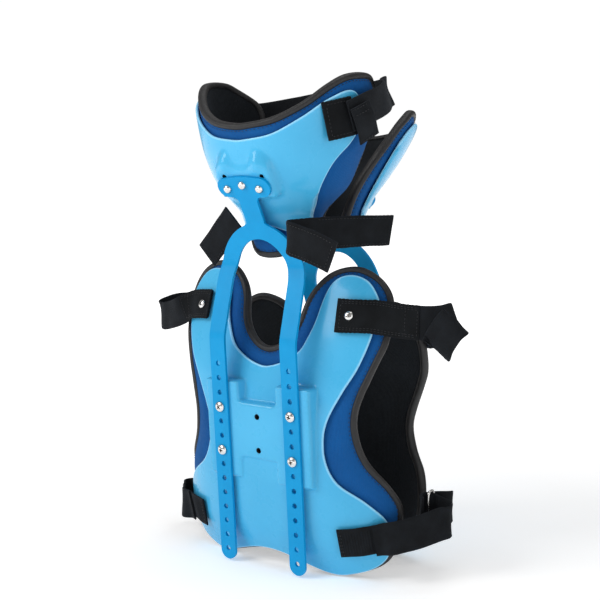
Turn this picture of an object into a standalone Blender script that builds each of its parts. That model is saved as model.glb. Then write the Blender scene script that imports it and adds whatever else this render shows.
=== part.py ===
"""Head, neck and chest brace: two padded half shells, each with an upright that carries a head support.

Every length is in millimetres until a mesh is written. X is left to right, +Z up, and the floor is at Z = 0.
The back half faces -Y and the front half faces +Y. Both are worked out in a half frame (x, d, z), where d is
the distance outward from the middle plane Y = 0, so one set of functions builds both.
"""

import math
from dataclasses import dataclass

import bmesh
import bpy
import numpy as np
from mathutils import Matrix, Vector

MM = 0.001
GAP = 0.3
BACK, FRONT = -1, 1
BASE_CENTRE = (21.07, 5.79, 0.87)

SHELL_THICKNESS = 3.0
LINER_DEPTH = 4.6
LINER_THICKNESS = 7.0
SECTION_HALF_WIDTH = 150.0
SECTION_POWER = 2.6
ARCH_LIFT = 17.0
ARCH_HALF_WIDTH = 75.0
ARCH_FADE = 50.0

UPRIGHT_THICKNESS = 3.0
HOLE_PITCH = 15.0
HOLES_PER_LEG = 14
HOLE_RADIUS = 2.7
LOWEST_HOLE = 12.0
LEG_X = 44.0
LEG_HALF_WIDTH = 9.5
LEG_LEAN = 0.075
LEG_AT_FLOOR = 76.9
STEM_HALF_WIDTH = 11.0
ARCH_OUTER_HEIGHT = 62.0
ARCH_INNER_HEIGHT = 46.0
SCREW_HOLES = (7, 10)
HEAD_END_X = 21.5
HEAD_RIVET_X = 19.3

PAD_COLUMNS = (0, 11, 22, 33, 44, 55, 64)
PAD_ROWS = (93, 104, 115, 129, 143, 157, 172, 182, 192)
PAD_BAR = (22, 115, 172)
PAD_BORE_RADIUS = 4.4
PAD_HOLES = (124.0, 158.5)
PAD_HOLE_RADIUS = 2.5
SEAT_COLUMNS = (0, 10, 20, 30, 38)
SCREW_RADIUS = 2.1
SCREW_HEAD_RADIUS = 5.3
RIVET_HOLE_RADIUS = 2.5

STRAP_WIDTH = 30.0
STRAP_THICKNESS = 2.4


# ---------------------------------------------------------------- plain helpers


def rule(*points):
    """A smooth value(x) through each (x, value) point that never overshoots between two of them."""
    xs, ys = (np.array(column, float) for column in zip(*points))
    slope = np.diff(ys) / np.diff(xs)
    tangent = np.zeros(len(xs))
    if len(slope) > 1:
        steady = slope[1:] * slope[:-1] > 0
        total = np.where(steady, slope[1:] + slope[:-1], 1.0)
        tangent[1:-1] = np.where(steady, 2 * slope[1:] * slope[:-1] / total, 0.0)
    tangent[0], tangent[-1] = slope[0], slope[-1]

    def value(x):
        i = int(np.clip(np.searchsorted(xs, x) - 1, 0, len(xs) - 2))
        step = xs[i + 1] - xs[i]
        t = float(np.clip((x - xs[i]) / step, 0, 1))
        return float(
            (1 + 2 * t) * (1 - t) ** 2 * ys[i]
            + t * (1 - t) ** 2 * step * tangent[i]
            + t * t * (3 - 2 * t) * ys[i + 1]
            - t * t * (1 - t) * step * tangent[i + 1]
        )

    return value


def material(name, colour, roughness, metallic=0.0):
    made = bpy.data.materials.new(name)
    made.use_nodes = True
    shader = made.node_tree.nodes["Principled BSDF"]
    shader.inputs["Base Color"].default_value = (*colour, 1)
    shader.inputs["Roughness"].default_value = roughness
    shader.inputs["Metallic"].default_value = metallic
    return made


def to_object(name, mesh, look, parent, round_piece=True):
    """Writes the millimetre bmesh as a closed mesh object in metres, facing out, under its body's empty.

    BASE_CENTRE is the middle of the whole brace's footprint, and becomes the origin.
    """
    bmesh.ops.remove_doubles(mesh, verts=mesh.verts, dist=0.001)
    bmesh.ops.recalc_face_normals(mesh, faces=mesh.faces)
    if mesh.calc_volume(signed=True) < 0:
        bmesh.ops.reverse_faces(mesh, faces=mesh.faces)
    mesh.transform(Matrix.Scale(MM, 4) @ Matrix.Translation(-Vector(BASE_CENTRE)))
    data = bpy.data.meshes.new(name)
    mesh.to_mesh(data)
    mesh.free()
    data.materials.append(look)
    if round_piece:
        data.shade_smooth()
        data.set_sharp_from_angle(angle=math.radians(35))
    made = bpy.data.objects.new(name, data)
    bpy.context.collection.objects.link(made)
    made.parent = parent
    if parent:
        made.matrix_parent_inverse = parent.matrix_world.inverted()
    return made


def slide_empty(name, at, direction, parent):
    """An empty on a slide's line, its own Z along the way that the piece slides."""
    made = bpy.data.objects.new(name, None)
    made.empty_display_size = 0.03
    made.matrix_world = axis_place((Vector(at) - Vector(BASE_CENTRE)) * MM, direction)
    bpy.context.collection.objects.link(made)
    if parent:
        made.parent = parent
        made.matrix_parent_inverse = parent.matrix_world.inverted()
    bpy.context.view_layer.update()
    return made


def slab(outer_rows, inner_rows, keep=lambda i, j: True):
    """A closed slab between two grids of points, with walls round it, but open where it meets X = 0."""
    mesh = bmesh.new()
    outer = [[mesh.verts.new(point) for point in row] for row in outer_rows]
    inner = [[mesh.verts.new(point) for point in row] for row in inner_rows]
    twin = {a: b for row, twins in zip(outer, inner) for a, b in zip(row, twins)}
    for i in range(len(outer) - 1):
        for j in range(len(outer[0]) - 1):
            if keep(i, j):
                mesh.faces.new((outer[i][j], outer[i][j + 1], outer[i + 1][j + 1], outer[i + 1][j]))
    rim = [edge for edge in mesh.edges if edge.is_boundary and any(v.co.x > 1e-6 for v in edge.verts)]
    for face in mesh.faces[:]:
        mesh.faces.new([twin[vert] for vert in face.verts])
    for edge in rim:
        start, end = edge.verts
        mesh.faces.new((start, end, twin[end], twin[start]))
    bmesh.ops.delete(mesh, geom=[vert for vert in mesh.verts if not vert.link_faces], context="VERTS")
    return mesh


def mirrored(mesh):
    """Adds the other half of a mesh built on X >= 0 and welds the two along X = 0."""
    geometry = mesh.verts[:] + mesh.edges[:] + mesh.faces[:]
    bmesh.ops.mirror(mesh, geom=geometry, axis="X", merge_dist=0.001)
    return mesh


def cut(target, cutter, operation="DIFFERENCE"):
    """Adds a Boolean to the target and turns the cutter into a hidden helper."""
    cutter.hide_render = True
    cutter.display_type = "WIRE"
    change = target.modifiers.new(cutter.name, "BOOLEAN")
    change.operation = operation
    change.object = cutter


def turned(profile, sides, place):
    """A solid of revolution about its own Z: (radius, height) pairs from one end of the axis to the other."""
    mesh = bmesh.new()
    rings = []
    for radius, height in profile:
        angles = [2 * math.pi * k / sides for k in range(sides)] if radius else [0]
        rings.append([mesh.verts.new((radius * math.cos(a), radius * math.sin(a), height)) for a in angles])
    for low, high in zip(rings, rings[1:]):
        for k in range(sides):
            following = k + 1
            corners = [low[k % len(low)], low[following % len(low)]]
            corners += [high[following % len(high)], high[k % len(high)]]
            mesh.faces.new(list(dict.fromkeys(corners)))
    for ring in (rings[0], rings[-1]):
        if len(ring) > 1 and profile[0] != profile[-1]:
            mesh.faces.new(ring)
    mesh.transform(place)
    return mesh


def tube_mesh(inner_radius, outer_radius, low, high, sides, place):
    """A short tube about its own Z."""
    inside, outside = ((inner_radius, high), (inner_radius, low)), ((outer_radius, low), (outer_radius, high))
    return turned((inside[1], *outside, *inside), sides, place)


def axis_place(point, axis):
    """The transform that puts a piece's own Z along the axis, at the point."""
    return Matrix.Translation(Vector(point)) @ Vector(axis).to_track_quat("Z", "Y").to_matrix().to_4x4()


# ---------------------------------------------------------------- torso halves


@dataclass
class Torso:
    """One half shell with its liner: how far out its middle line stands, and its edges, as rules of height."""

    name: str
    side: int
    middle: callable
    bulge: callable
    shell_edge: callable
    shell_notch: callable
    shell_span: tuple
    liner_edge: callable
    liner_notch: callable
    liner_span: tuple


def torso_depth(torso, x, z):
    """How far out the shell's outer face is at (x, z)."""
    share = min(abs(x) / SECTION_HALF_WIDTH, 0.999)
    fall = 1 - (1 - share**SECTION_POWER) ** (1 / SECTION_POWER)
    return torso.middle(z) - torso.bulge(z) * fall


def torso_normal(torso, x, z):
    """The outward direction of the shell's outer face, in the half frame."""
    step = 0.5
    along_x = (torso_depth(torso, x + step, z) - torso_depth(torso, x - step, z)) / (2 * step)
    along_z = (torso_depth(torso, x, z + step) - torso_depth(torso, x, z - step)) / (2 * step)
    return Vector((-along_x if x else 0.0, 1, -along_z)).normalized()


def torso_point(torso, x, z, depth=0.0):
    """The world point at (x, z) of the torso half, this far below the shell's outer face."""
    point = Vector((x, torso_depth(torso, x, z), z)) - torso_normal(torso, x, z) * depth
    point.x = max(point.x, 0.0) if x >= 0 else point.x
    point.y *= torso.side
    return point


def torso_rows(torso, edge, notch, heights, columns, depth):
    """Rows of points from the middle, or the neck notch, out to the side edge. The bottom edge arches up."""
    low = heights[0]
    rows = []
    for z in heights:
        start, end = notch(z), edge(z)
        row = []
        for j in range(columns + 1):
            x = start + (end - start) * (1 - (1 - j / columns) ** 1.4)
            arch = max(0.0, 1 - (x / ARCH_HALF_WIDTH) ** 2) ** 2
            lifted = z + ARCH_LIFT * arch * max(0.0, 1 - (z - low) / ARCH_FADE)
            point = torso_point(torso, x, lifted, depth)
            if x == 0:
                point.x = 0.0
            row.append(point)
        rows.append(row)
    return rows


def torso_sheet(torso, edge, notch, span, depth, thickness, rows_below, rows_above):
    """The curved slab of a shell or a liner, both halves."""
    low, notch_bottom, top = span
    heights = [low + (notch_bottom - low) * (i / rows_below) ** 1.15 for i in range(rows_below)]
    turns = [math.pi * i / rows_above for i in range(rows_above + 1)]
    heights += [notch_bottom + (top - notch_bottom) * (1 - math.cos(turn)) / 2 for turn in turns]
    outer = torso_rows(torso, edge, notch, heights, 7, depth)
    inner = torso_rows(torso, edge, notch, heights, 7, depth + thickness)
    return mirrored(slab(outer, inner))


def posterior_torso():
    return Torso(
        name="posterior",
        side=BACK,
        middle=rule((0, 57), (15, 63.6), (45, 74), (75, 77.5), (102, 79.5), (132, 80), (160, 79.5), (189, 76.5),
                    (216, 73), (246, 67), (303, 49), (320, 44)),
        bulge=rule((110, 115), (125, 113), (180, 66), (195, 60)),
        shell_edge=rule((2, 79), (5.5, 92), (10, 105), (17, 116), (26, 123), (42, 127), (60, 126), (82, 110),
                        (102, 83), (118, 74.5), (132, 71.7), (146, 72), (160, 75.6), (189, 90), (216, 105),
                        (246, 114), (272, 117), (290, 108), (298, 99), (301.5, 88)),
        shell_notch=rule((208, 0), (211, 13), (217, 27), (227, 41), (240, 48), (255, 54), (277, 58.5), (290, 63),
                         (298, 70), (301.5, 80)),
        shell_span=(2.0, 208.0, 301.5),
        liner_edge=rule((0, 79), (4, 93), (9, 107), (16, 119), (26, 127), (42, 132), (72, 136), (94, 129),
                        (120, 111), (137, 104), (155, 101.5), (172, 103), (206, 115), (222, 121), (238, 127),
                        (262, 129), (282, 125), (297, 114), (305, 101), (309, 90)),
        liner_notch=rule((226, 0), (229, 11), (237, 22), (246, 29), (257, 34), (275, 38), (289, 45), (300, 56),
                         (306, 67), (309, 79)),
        liner_span=(0.0, 226.0, 309.0),
    )


def anterior_torso():
    return Torso(
        name="anterior",
        side=FRONT,
        middle=rule((0, 57), (15, 63), (45, 72), (75, 75.5), (102, 77), (132, 77), (160, 75.5), (189, 71),
                    (216, 64), (246, 55), (275, 46), (300, 40)),
        bulge=rule((110, 115), (125, 113), (180, 72), (195, 66)),
        shell_edge=rule((2, 79), (5.5, 92), (10, 105), (17, 115), (26, 121), (42, 124), (60, 122), (82, 108),
                        (102, 88), (122, 80), (140, 78), (158, 82), (182, 96), (206, 108), (225, 112), (243, 109),
                        (255, 101), (261.5, 90)),
        shell_notch=rule((178, 0), (181, 13), (187, 27), (197, 40), (210, 48), (228, 55), (244, 62), (255, 70),
                         (261.5, 82)),
        shell_span=(2.0, 178.0, 261.5),
        liner_edge=rule((0, 79), (4, 93), (9, 107), (16, 118), (26, 125), (42, 129), (70, 131), (92, 123),
                        (115, 104), (137, 97), (155, 101), (180, 112), (205, 122), (225, 124), (245, 119),
                        (258, 110), (266, 98), (269, 90)),
        liner_notch=rule((192, 0), (195, 12), (202, 23), (212, 31), (225, 38), (243, 46), (257, 56), (265, 68),
                         (269, 80)),
        liner_span=(0.0, 192.0, 269.0),
    )


# ---------------------------------------------------------------- uprights


@dataclass
class Upright:
    """A bent flat strip, with its side view as (outward distance, height) corners."""

    side: int
    bends: tuple


def leg_depth(z):
    """How far out the legs' outer face is at a height."""
    return LEG_AT_FLOOR + LEG_LEAN * z


def slide_direction(side):
    return Vector((0, side * LEG_LEAN, 1)).normalized()


def bend_lengths(upright):
    """The distance along the strip at each bend."""
    lengths = [0.0]
    for (d0, z0), (d1, z1) in zip(upright.bends, upright.bends[1:]):
        lengths.append(lengths[-1] + math.hypot(d1 - d0, z1 - z0))
    return lengths


def strip_frame(upright, along):
    """The point on the strip's outer face at a distance along it, and the way out of that face."""
    lengths = bend_lengths(upright)
    segment = max(i for i in range(len(lengths) - 1) if along >= lengths[i] - 1e-6 or i == 0)

    def outward(i):
        (d0, z0), (d1, z1) = upright.bends[i], upright.bends[i + 1]
        return Vector((0, z1 - z0, d0 - d1)).normalized()

    (d0, z0), (d1, z1) = upright.bends[segment], upright.bends[segment + 1]
    share = (along - lengths[segment]) / (lengths[segment + 1] - lengths[segment])
    point = Vector((0, d0 + (d1 - d0) * share, z0 + (z1 - z0) * share))
    normal = outward(segment)
    if segment and abs(along - lengths[segment]) < 1e-4:
        both = (outward(segment) + outward(segment - 1)).normalized()
        normal = both / both.dot(normal)
    return point, normal


def strip_point(upright, x, along, lift):
    """The world point at (x, along) of the flat pattern, lifted off the strip's outer face."""
    point, normal = strip_frame(upright, along)
    placed = point + normal * lift
    return Vector((x, placed.y * upright.side, placed.z))


def arc(cx, cy, rx, ry, start, end, steps):
    angles = [math.radians(start + (end - start) * k / steps) for k in range(steps + 1)]
    return [(cx + rx * math.cos(a), cy + ry * math.sin(a)) for a in angles]


def head_rivets(upright):
    """The three rivet places of the strip's flat head, as (x, along)."""
    top = bend_lengths(upright)[-1]
    return ((-HEAD_RIVET_X, top - 13), (0.0, top - 9), (HEAD_RIVET_X, top - 13))


def half_outline(upright):
    """The flat pattern's outline on X >= 0, from the middle of the flat head down to the arch."""
    _, _, arch, stem, top = bend_lengths(upright)
    arch_foot = arch - 22
    points = [(0, top), (10, top - 0.6)]
    points += arc(HEAD_END_X, top - 12, 10, 10, 75, -90, 5)
    points += arc(STEM_HALF_WIDTH + 7, top - 29, 7, 7, 90, 180, 3)
    points += [(STEM_HALF_WIDTH, stem)]
    points += arc(0, arch_foot, LEG_X + LEG_HALF_WIDTH, ARCH_OUTER_HEIGHT, 74, 0, 7)
    points += arc(LEG_X, LEG_HALF_WIDTH, LEG_HALF_WIDTH, LEG_HALF_WIDTH, 0, -180, 6)
    points += arc(0, arch_foot, LEG_X - LEG_HALF_WIDTH, ARCH_INNER_HEIGHT, 0, 90, 6)
    return points


def leg_holes():
    """Every adjusting hole as (x, along), hole 1 at the top of each leg."""
    return [(x, LOWEST_HOLE + HOLE_PITCH * k) for x in (-LEG_X, LEG_X) for k in range(HOLES_PER_LEG)]


def flat_loop(mesh, points):
    verts = [mesh.verts.new((x, y, 0)) for x, y in points]
    return [mesh.edges.new((a, b)) for a, b in zip(verts, verts[1:] + verts[:1])]


def upright_mesh(upright):
    """The strip cut from flat sheet with its holes, then bent along its side view."""
    mesh = bmesh.new()
    half = half_outline(upright)
    other_half = [(-x, y) for x, y in reversed(half) if x > 1e-6]
    edges = flat_loop(mesh, half + other_half)
    for x, along in leg_holes():
        edges += flat_loop(mesh, arc(x, along, HOLE_RADIUS, HOLE_RADIUS, 0, 300, 5))
    for x, along in head_rivets(upright):
        edges += flat_loop(mesh, arc(x, along, RIVET_HOLE_RADIUS, RIVET_HOLE_RADIUS, 0, 300, 5))
    bmesh.ops.triangle_fill(mesh, use_beauty=True, edges=edges)
    for length in bend_lengths(upright)[1:-1]:
        everything = mesh.verts[:] + mesh.edges[:] + mesh.faces[:]
        bmesh.ops.bisect_plane(mesh, geom=everything, dist=1e-5, plane_co=(0, length, 0), plane_no=(0, 1, 0))
    raised = bmesh.ops.extrude_face_region(mesh, geom=mesh.faces[:])["geom"]
    back = {v for v in raised if isinstance(v, bmesh.types.BMVert)}
    for vert in mesh.verts:
        lift = -UPRIGHT_THICKNESS if vert in back else 0.0
        vert.co = strip_point(upright, vert.co.x, vert.co.y, lift)
    return mesh


def posterior_upright():
    """Its legs stand on the shell's pads, then it leans in to the neck and out again to the head support."""
    return Upright(BACK, ((leg_depth(3), 3), (leg_depth(237), 237), (76, 311), (86.5, 350), (110.7, 394.6)))


def anterior_upright():
    return Upright(FRONT, ((leg_depth(3), 3), (leg_depth(210), 210), (61, 292), (57, 335), (88, 379)))


# ---------------------------------------------------------------- raised pads, screws and inserts


def leg_plane(x, z, lift, side):
    """A world point off the plane that the legs' outer faces lie in."""
    normal = Vector((0, 1, -LEG_LEAN)).normalized()
    point = Vector((x, leg_depth(z), z)) + normal * lift
    return Vector((point.x, point.y * side, point.z))


def pad_mesh(torso):
    """The H-shaped seat that both legs are screwed down on: a bar between two uprights, let into the shell."""
    face = -UPRIGHT_THICKNESS - GAP
    bar_end, bar_low, bar_high = PAD_BAR

    def keep(i, j):
        in_bar = bar_low <= PAD_ROWS[i] < bar_high
        return in_bar or PAD_COLUMNS[j] >= bar_end

    outer = [[leg_plane(x, z, face, torso.side) for x in PAD_COLUMNS] for z in PAD_ROWS]
    inner = [[torso_point(torso, x, z, SHELL_THICKNESS / 2) for x in PAD_COLUMNS] for z in PAD_ROWS]
    return mirrored(slab(outer, inner, keep))


def screw_places(side):
    """Where each leg is screwed down: a point on the legs' outer face and the way out of it."""
    direction = Vector((0, side, -LEG_LEAN)).normalized()
    places = []
    for x in (-LEG_X, LEG_X):
        for hole in SCREW_HOLES:
            along = LOWEST_HOLE + HOLE_PITCH * hole
            start = Vector((x, side * leg_depth(3), 3))
            places.append((start + slide_direction(side) * along, direction))
    return places


def screw_mesh(place, direction, head_radius, shank_length, lift):
    """A domed head above the piece that it holds, and a plain shank below."""
    profile = (
        (0, -shank_length),
        (SCREW_RADIUS, -shank_length),
        (SCREW_RADIUS, lift),
        (head_radius, lift),
        (head_radius * 0.92, lift + 1.4),
        (head_radius * 0.55, lift + 2.7),
        (0, lift + 3.1),
    )
    return turned(profile, 8, axis_place(place, direction))


# ---------------------------------------------------------------- head supports


@dataclass
class HeadCup:
    """A cup that is part of an ellipse in plan. Angles run in degrees from the middle, round to each side."""

    name: str
    side: int
    centre: callable
    half_width: callable
    half_depth: callable
    shell_rim: callable
    shell_floor: callable
    shell_reach: callable
    liner_rim: callable
    liner_floor: callable
    liner_reach: callable


def cup_point(cup, angle, z, depth):
    """The world point at an angle round the cup, this far inside its outer face."""
    radians = math.radians(angle)
    step = 1.0

    def on_face(a, height):
        return Vector((
            cup.half_width(height) * math.sin(a),
            cup.centre(height) + cup.half_depth(height) * math.cos(a),
            height,
        ))

    around = on_face(radians + 0.01, z) - on_face(radians - 0.01, z)
    upward = on_face(radians, z + step) - on_face(radians, z - step)
    inward = around.cross(upward).normalized()
    point = on_face(radians, z) - inward * (-depth)
    if angle == 0:
        point.x = 0.0
    return Vector((point.x, point.y * cup.side, point.z))


def cup_point_at(cup, x, z, depth):
    """The world point of the cup's middle part at (x, z), this far inside its outer face."""
    return cup_point(cup, math.degrees(math.asin(x / cup.half_width(z))), z, depth)


def cup_sheet(cup, rim, floor, reach, depth, thickness, levels, columns):
    """The slab of a cup's shell or liner, both halves, from its curved floor up to its curved rim."""

    def grid(below):
        rows = []
        for i in range(levels + 1):
            share = i / levels
            side_reach = reach(share)
            row = []
            for j in range(columns + 1):
                angle = side_reach * j / columns
                z = floor(angle) + (rim(angle) - floor(angle)) * share
                row.append(cup_point(cup, angle, z, below))
            rows.append(row)
        return rows

    return mirrored(slab(grid(depth), grid(depth + thickness)))


def occipital_cup():
    half_width = rule((300, 36), (333, 40), (358, 46), (370, 56), (386, 70), (405, 80), (425, 87), (460, 94),
                      (495, 98))
    return HeadCup(
        name="occipital",
        side=BACK,
        centre=lambda z: 38.0,
        half_width=half_width,
        half_depth=lambda z: 0.87 * half_width(z),
        shell_rim=rule((0, 429), (20, 433), (42, 449), (60, 467), (76, 476), (90, 470)),
        shell_floor=rule((0, 349), (20, 345.5), (38, 342), (55, 344), (76, 350)),
        shell_reach=rule((0, 76), (0.15, 70), (0.3, 64), (0.45, 68), (0.62, 82), (0.8, 89), (0.93, 88),
                         (1, 80)),
        liner_rim=rule((0, 442), (20, 446), (42, 460), (60, 478), (76, 489), (95, 491.5), (112, 489)),
        liner_floor=rule((0, 316.5), (20, 317.5), (35, 321), (50, 327), (70, 335), (118, 345)),
        liner_reach=rule((0, 118), (0.25, 124), (0.45, 118), (0.58, 124), (0.72, 132), (0.86, 129), (0.95, 116),
                         (1, 103)),
    )


def chin_cup():
    half_width = rule((345, 54), (370, 62), (395, 71), (420, 80), (445, 86), (465, 89))
    half_depth = rule((345, 54), (370, 60), (395, 76), (420, 83), (445, 84), (465, 80))
    return HeadCup(
        name="chin",
        side=FRONT,
        centre=rule((345, 3), (370, 10), (415, 34), (445, 52), (465, 58)),
        half_width=half_width,
        half_depth=half_depth,
        shell_rim=rule((0, 425), (25, 428), (50, 443), (74, 452), (95, 446)),
        shell_floor=lambda angle: 352.0,
        shell_reach=rule((0, 78), (0.3, 84), (0.7, 88), (0.9, 84), (1, 72)),
        liner_rim=rule((0, 434), (25, 438), (50, 453), (74, 462), (95, 456)),
        liner_floor=lambda angle: 345.0,
        liner_reach=rule((0, 98), (0.3, 101), (0.7, 98), (0.9, 93), (1, 80)),
    )


def seat_mesh(cup, upright):
    """The raised boss that the upright's flat head is riveted down on, let into the cup's shell."""
    top = bend_lengths(upright)[-1]
    face = -UPRIGHT_THICKNESS - GAP
    outer, inner = [], []
    for along in (top - 27, top - 18, top - 9, top - 1, top + 5):
        row = [strip_point(upright, x, along, face) for x in SEAT_COLUMNS]
        outer.append(row)
        inner.append([cup_point_at(cup, point.x, point.z, SHELL_THICKNESS / 2) for point in row])
    return mirrored(slab(outer, inner))


# ---------------------------------------------------------------- straps


def strap_path(controls, spacing):
    """(point, control number) pairs along a smooth curve through the controls, about one spacing apart."""
    points = [Vector(c) for c in controls]
    padded = [2 * points[0] - points[1], *points, 2 * points[-1] - points[-2]]
    made = []
    for number, (before, start, end, after) in enumerate(zip(padded, padded[1:], padded[2:], padded[3:])):
        steps = max(1, round((end - start).length / spacing))
        for k in range(steps):
            t = k / steps
            even = 2 * start + (end - before) * t
            bend = (2 * before - 5 * start + 4 * end - after) * t * t
            twist = (3 * start - before - 3 * end + after) * t**3
            made.append((0.5 * (even + bend + twist), number + t))
    return [*made, (points[-1], len(points) - 1)]


def ribbon(controls, widths, width=STRAP_WIDTH, spacing=22):
    """A flat strap along a curve.

    Each control has its own width direction, which the strap turns between. The last one given serves the rest.
    """
    path = strap_path(controls, spacing)
    last = len(widths) - 1
    mesh = bmesh.new()
    rings = []
    for k, (point, at) in enumerate(path):
        low = min(int(at), last)
        wide = Vector(widths[low]).lerp(Vector(widths[min(low + 1, last)]), at - int(at))
        tangent = (path[min(k + 1, len(path) - 1)][0] - path[max(k - 1, 0)][0]).normalized()
        wide = (wide - tangent * wide.dot(tangent)).normalized() * (width / 2)
        thick = tangent.cross(wide).normalized() * (STRAP_THICKNESS / 2)
        corners = ((-1, -1), (1, -1), (1, 1), (-1, 1))
        rings.append([mesh.verts.new(point + wide * a + thick * b) for a, b in corners])
    for low, high in zip(rings, rings[1:]):
        for k in range(4):
            mesh.faces.new((low[k], low[(k + 1) % 4], high[(k + 1) % 4], high[k]))
    mesh.faces.new(rings[0])
    mesh.faces.new(rings[-1])
    return mesh


def on_torso(torso, x, z, lift):
    return torso_point(torso, x, z, -lift)


def up_torso(torso, x, z):
    """The way up along the torso half's face."""
    return (torso_point(torso, x, z + 5) - torso_point(torso, x, z - 5)).normalized()


def flipped(points, hand):
    return [Vector((p[0] * hand, p[1], p[2])) for p in points]


# ---------------------------------------------------------------- assembly

LOOKS = {
    "shell": material("moulded_shell", (0.13, 0.50, 0.84), 0.18),
    "upright": material("painted_metal", (0.0, 0.35, 0.62), 0.32, 0.3),
    "liner": material("liner_fabric", (0.01, 0.08, 0.30), 0.85),
    "strap": material("strap_webbing", (0.012, 0.012, 0.016), 0.8),
    "metal": material("bright_metal", (0.75, 0.74, 0.72), 0.22, 1.0),
}
INSERT_DEPTH = 5.0
HEAD_SCREW_LENGTH = 8.0
SHOULDER_Z = 262.0
FRONT_SHOULDER_Z = 236.0
STRAP_LIFT = 3.4
WAIST_LOOP = ((134, -43), (150, -24), (163, -8), (168.5, -2), (166, 4), (158, 2), (149, -7), (143, -13))
WAIST_HEIGHTS = {
    "right": {
        "back": (41.5, 44, 47.5),
        "loop": (51, 55, 60, 61.5, 62, 62, 62, 61),
        "tab": (70, 71, 71, 70.5, 68, 61, 54),
        "front": (50, 46, 42),
    },
    "left": {
        "back": (43, 43, 42),
        "loop": (40, 37, 34.5, 34, 34, 34, 34, 34.5),
        "tab": (38, 38, 38, 38, 38, 39, 40),
        "front": (41, 42, 42),
    },
}
TAB_LOOP = ((140, 12), (150, 14), (157, 17), (160, 22), (157, 28), (148, 37), (136, 45))


def clear_scene():
    for thing in list(bpy.data.objects):
        bpy.data.objects.remove(thing, do_unlink=True)


def build_torso(torso, empty):
    """The shell with its pad and bores, the liner, and the threaded inserts in the pad."""
    shell = to_object(
        f"{torso.name}_shell",
        torso_sheet(torso, torso.shell_edge, torso.shell_notch, torso.shell_span, 0.0, SHELL_THICKNESS, 10, 7),
        LOOKS["shell"],
        empty,
    )
    to_object(
        f"{torso.name}_liner",
        torso_sheet(
            torso, torso.liner_edge, torso.liner_notch, torso.liner_span, LINER_DEPTH, LINER_THICKNESS, 10, 7
        ),
        LOOKS["liner"],
        empty,
    )
    cut(shell, to_object(f"{torso.name}_pad", pad_mesh(torso), LOOKS["shell"], empty, False), "UNION")
    for k, z in enumerate(PAD_HOLES, start=1):
        place = axis_place(leg_plane(0, z, 0, torso.side), (0, torso.side, 0))
        hole = bore_mesh(PAD_HOLE_RADIUS, 20, place)
        cut(shell, to_object(f"{torso.name}_pad_hole_{k}", hole, LOOKS["shell"], empty))
    high = -UPRIGHT_THICKNESS - GAP - 1.0
    for k, (point, direction) in enumerate(screw_places(torso.side), start=1):
        place = axis_place(point, direction)
        bore = bore_mesh(PAD_BORE_RADIUS, 30, place)
        cut(shell, to_object(f"{torso.name}_bore_{k}", bore, LOOKS["shell"], empty))
        insert = tube_mesh(SCREW_RADIUS + 0.6, PAD_BORE_RADIUS - 0.6, high - INSERT_DEPTH, high, 8, place)
        to_object(f"{torso.name}_insert_{k}", insert, LOOKS["metal"], empty)


def bore_mesh(radius, below, place):
    """The cutter for a hole: a plain cylinder from well above the piece to this far below the leg's face."""
    return turned(((0, -below), (radius, -below), (radius, 5), (0, 5)), 8, place)


def build_screws(side, name, empty, shank):
    for k, (place, direction) in enumerate(screw_places(side), start=1):
        screw = screw_mesh(place, direction, SCREW_HEAD_RADIUS, shank, GAP)
        to_object(f"{name}_screw_{k}", screw, LOOKS["metal"], empty)


def build_upright(upright, name, empty):
    to_object(f"{name}_upright", upright_mesh(upright), LOOKS["upright"], empty, False)


def build_cup(cup, upright, empty):
    """The cup's shell with its boss and rivet holes, the liner inside it, and three rivets."""
    shell = to_object(
        f"{cup.name}_shell",
        cup_sheet(cup, cup.shell_rim, cup.shell_floor, cup.shell_reach, 0.0, SHELL_THICKNESS, 9, 7),
        LOOKS["shell"],
        empty,
    )
    to_object(
        f"{cup.name}_liner",
        cup_sheet(cup, cup.liner_rim, cup.liner_floor, cup.liner_reach, LINER_DEPTH, LINER_THICKNESS, 10, 9),
        LOOKS["liner"],
        empty,
    )
    cut(shell, to_object(f"{cup.name}_seat", seat_mesh(cup, upright), LOOKS["shell"], empty, False), "UNION")
    for k, (x, along) in enumerate(head_rivets(upright), start=1):
        place = strip_point(upright, x, along, 0.0)
        direction = strip_point(upright, x, along, 1.0) - place
        bore = bore_mesh(RIVET_HOLE_RADIUS, 8, axis_place(place, direction))
        cut(shell, to_object(f"{cup.name}_rivet_hole_{k}", bore, LOOKS["shell"], empty))
        rivet = screw_mesh(place, direction, 4.3, 7.5, GAP)
        to_object(f"{cup.name}_rivet_{k}", rivet, LOOKS["metal"], empty)


UP = (0, 0, 1)


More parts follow.
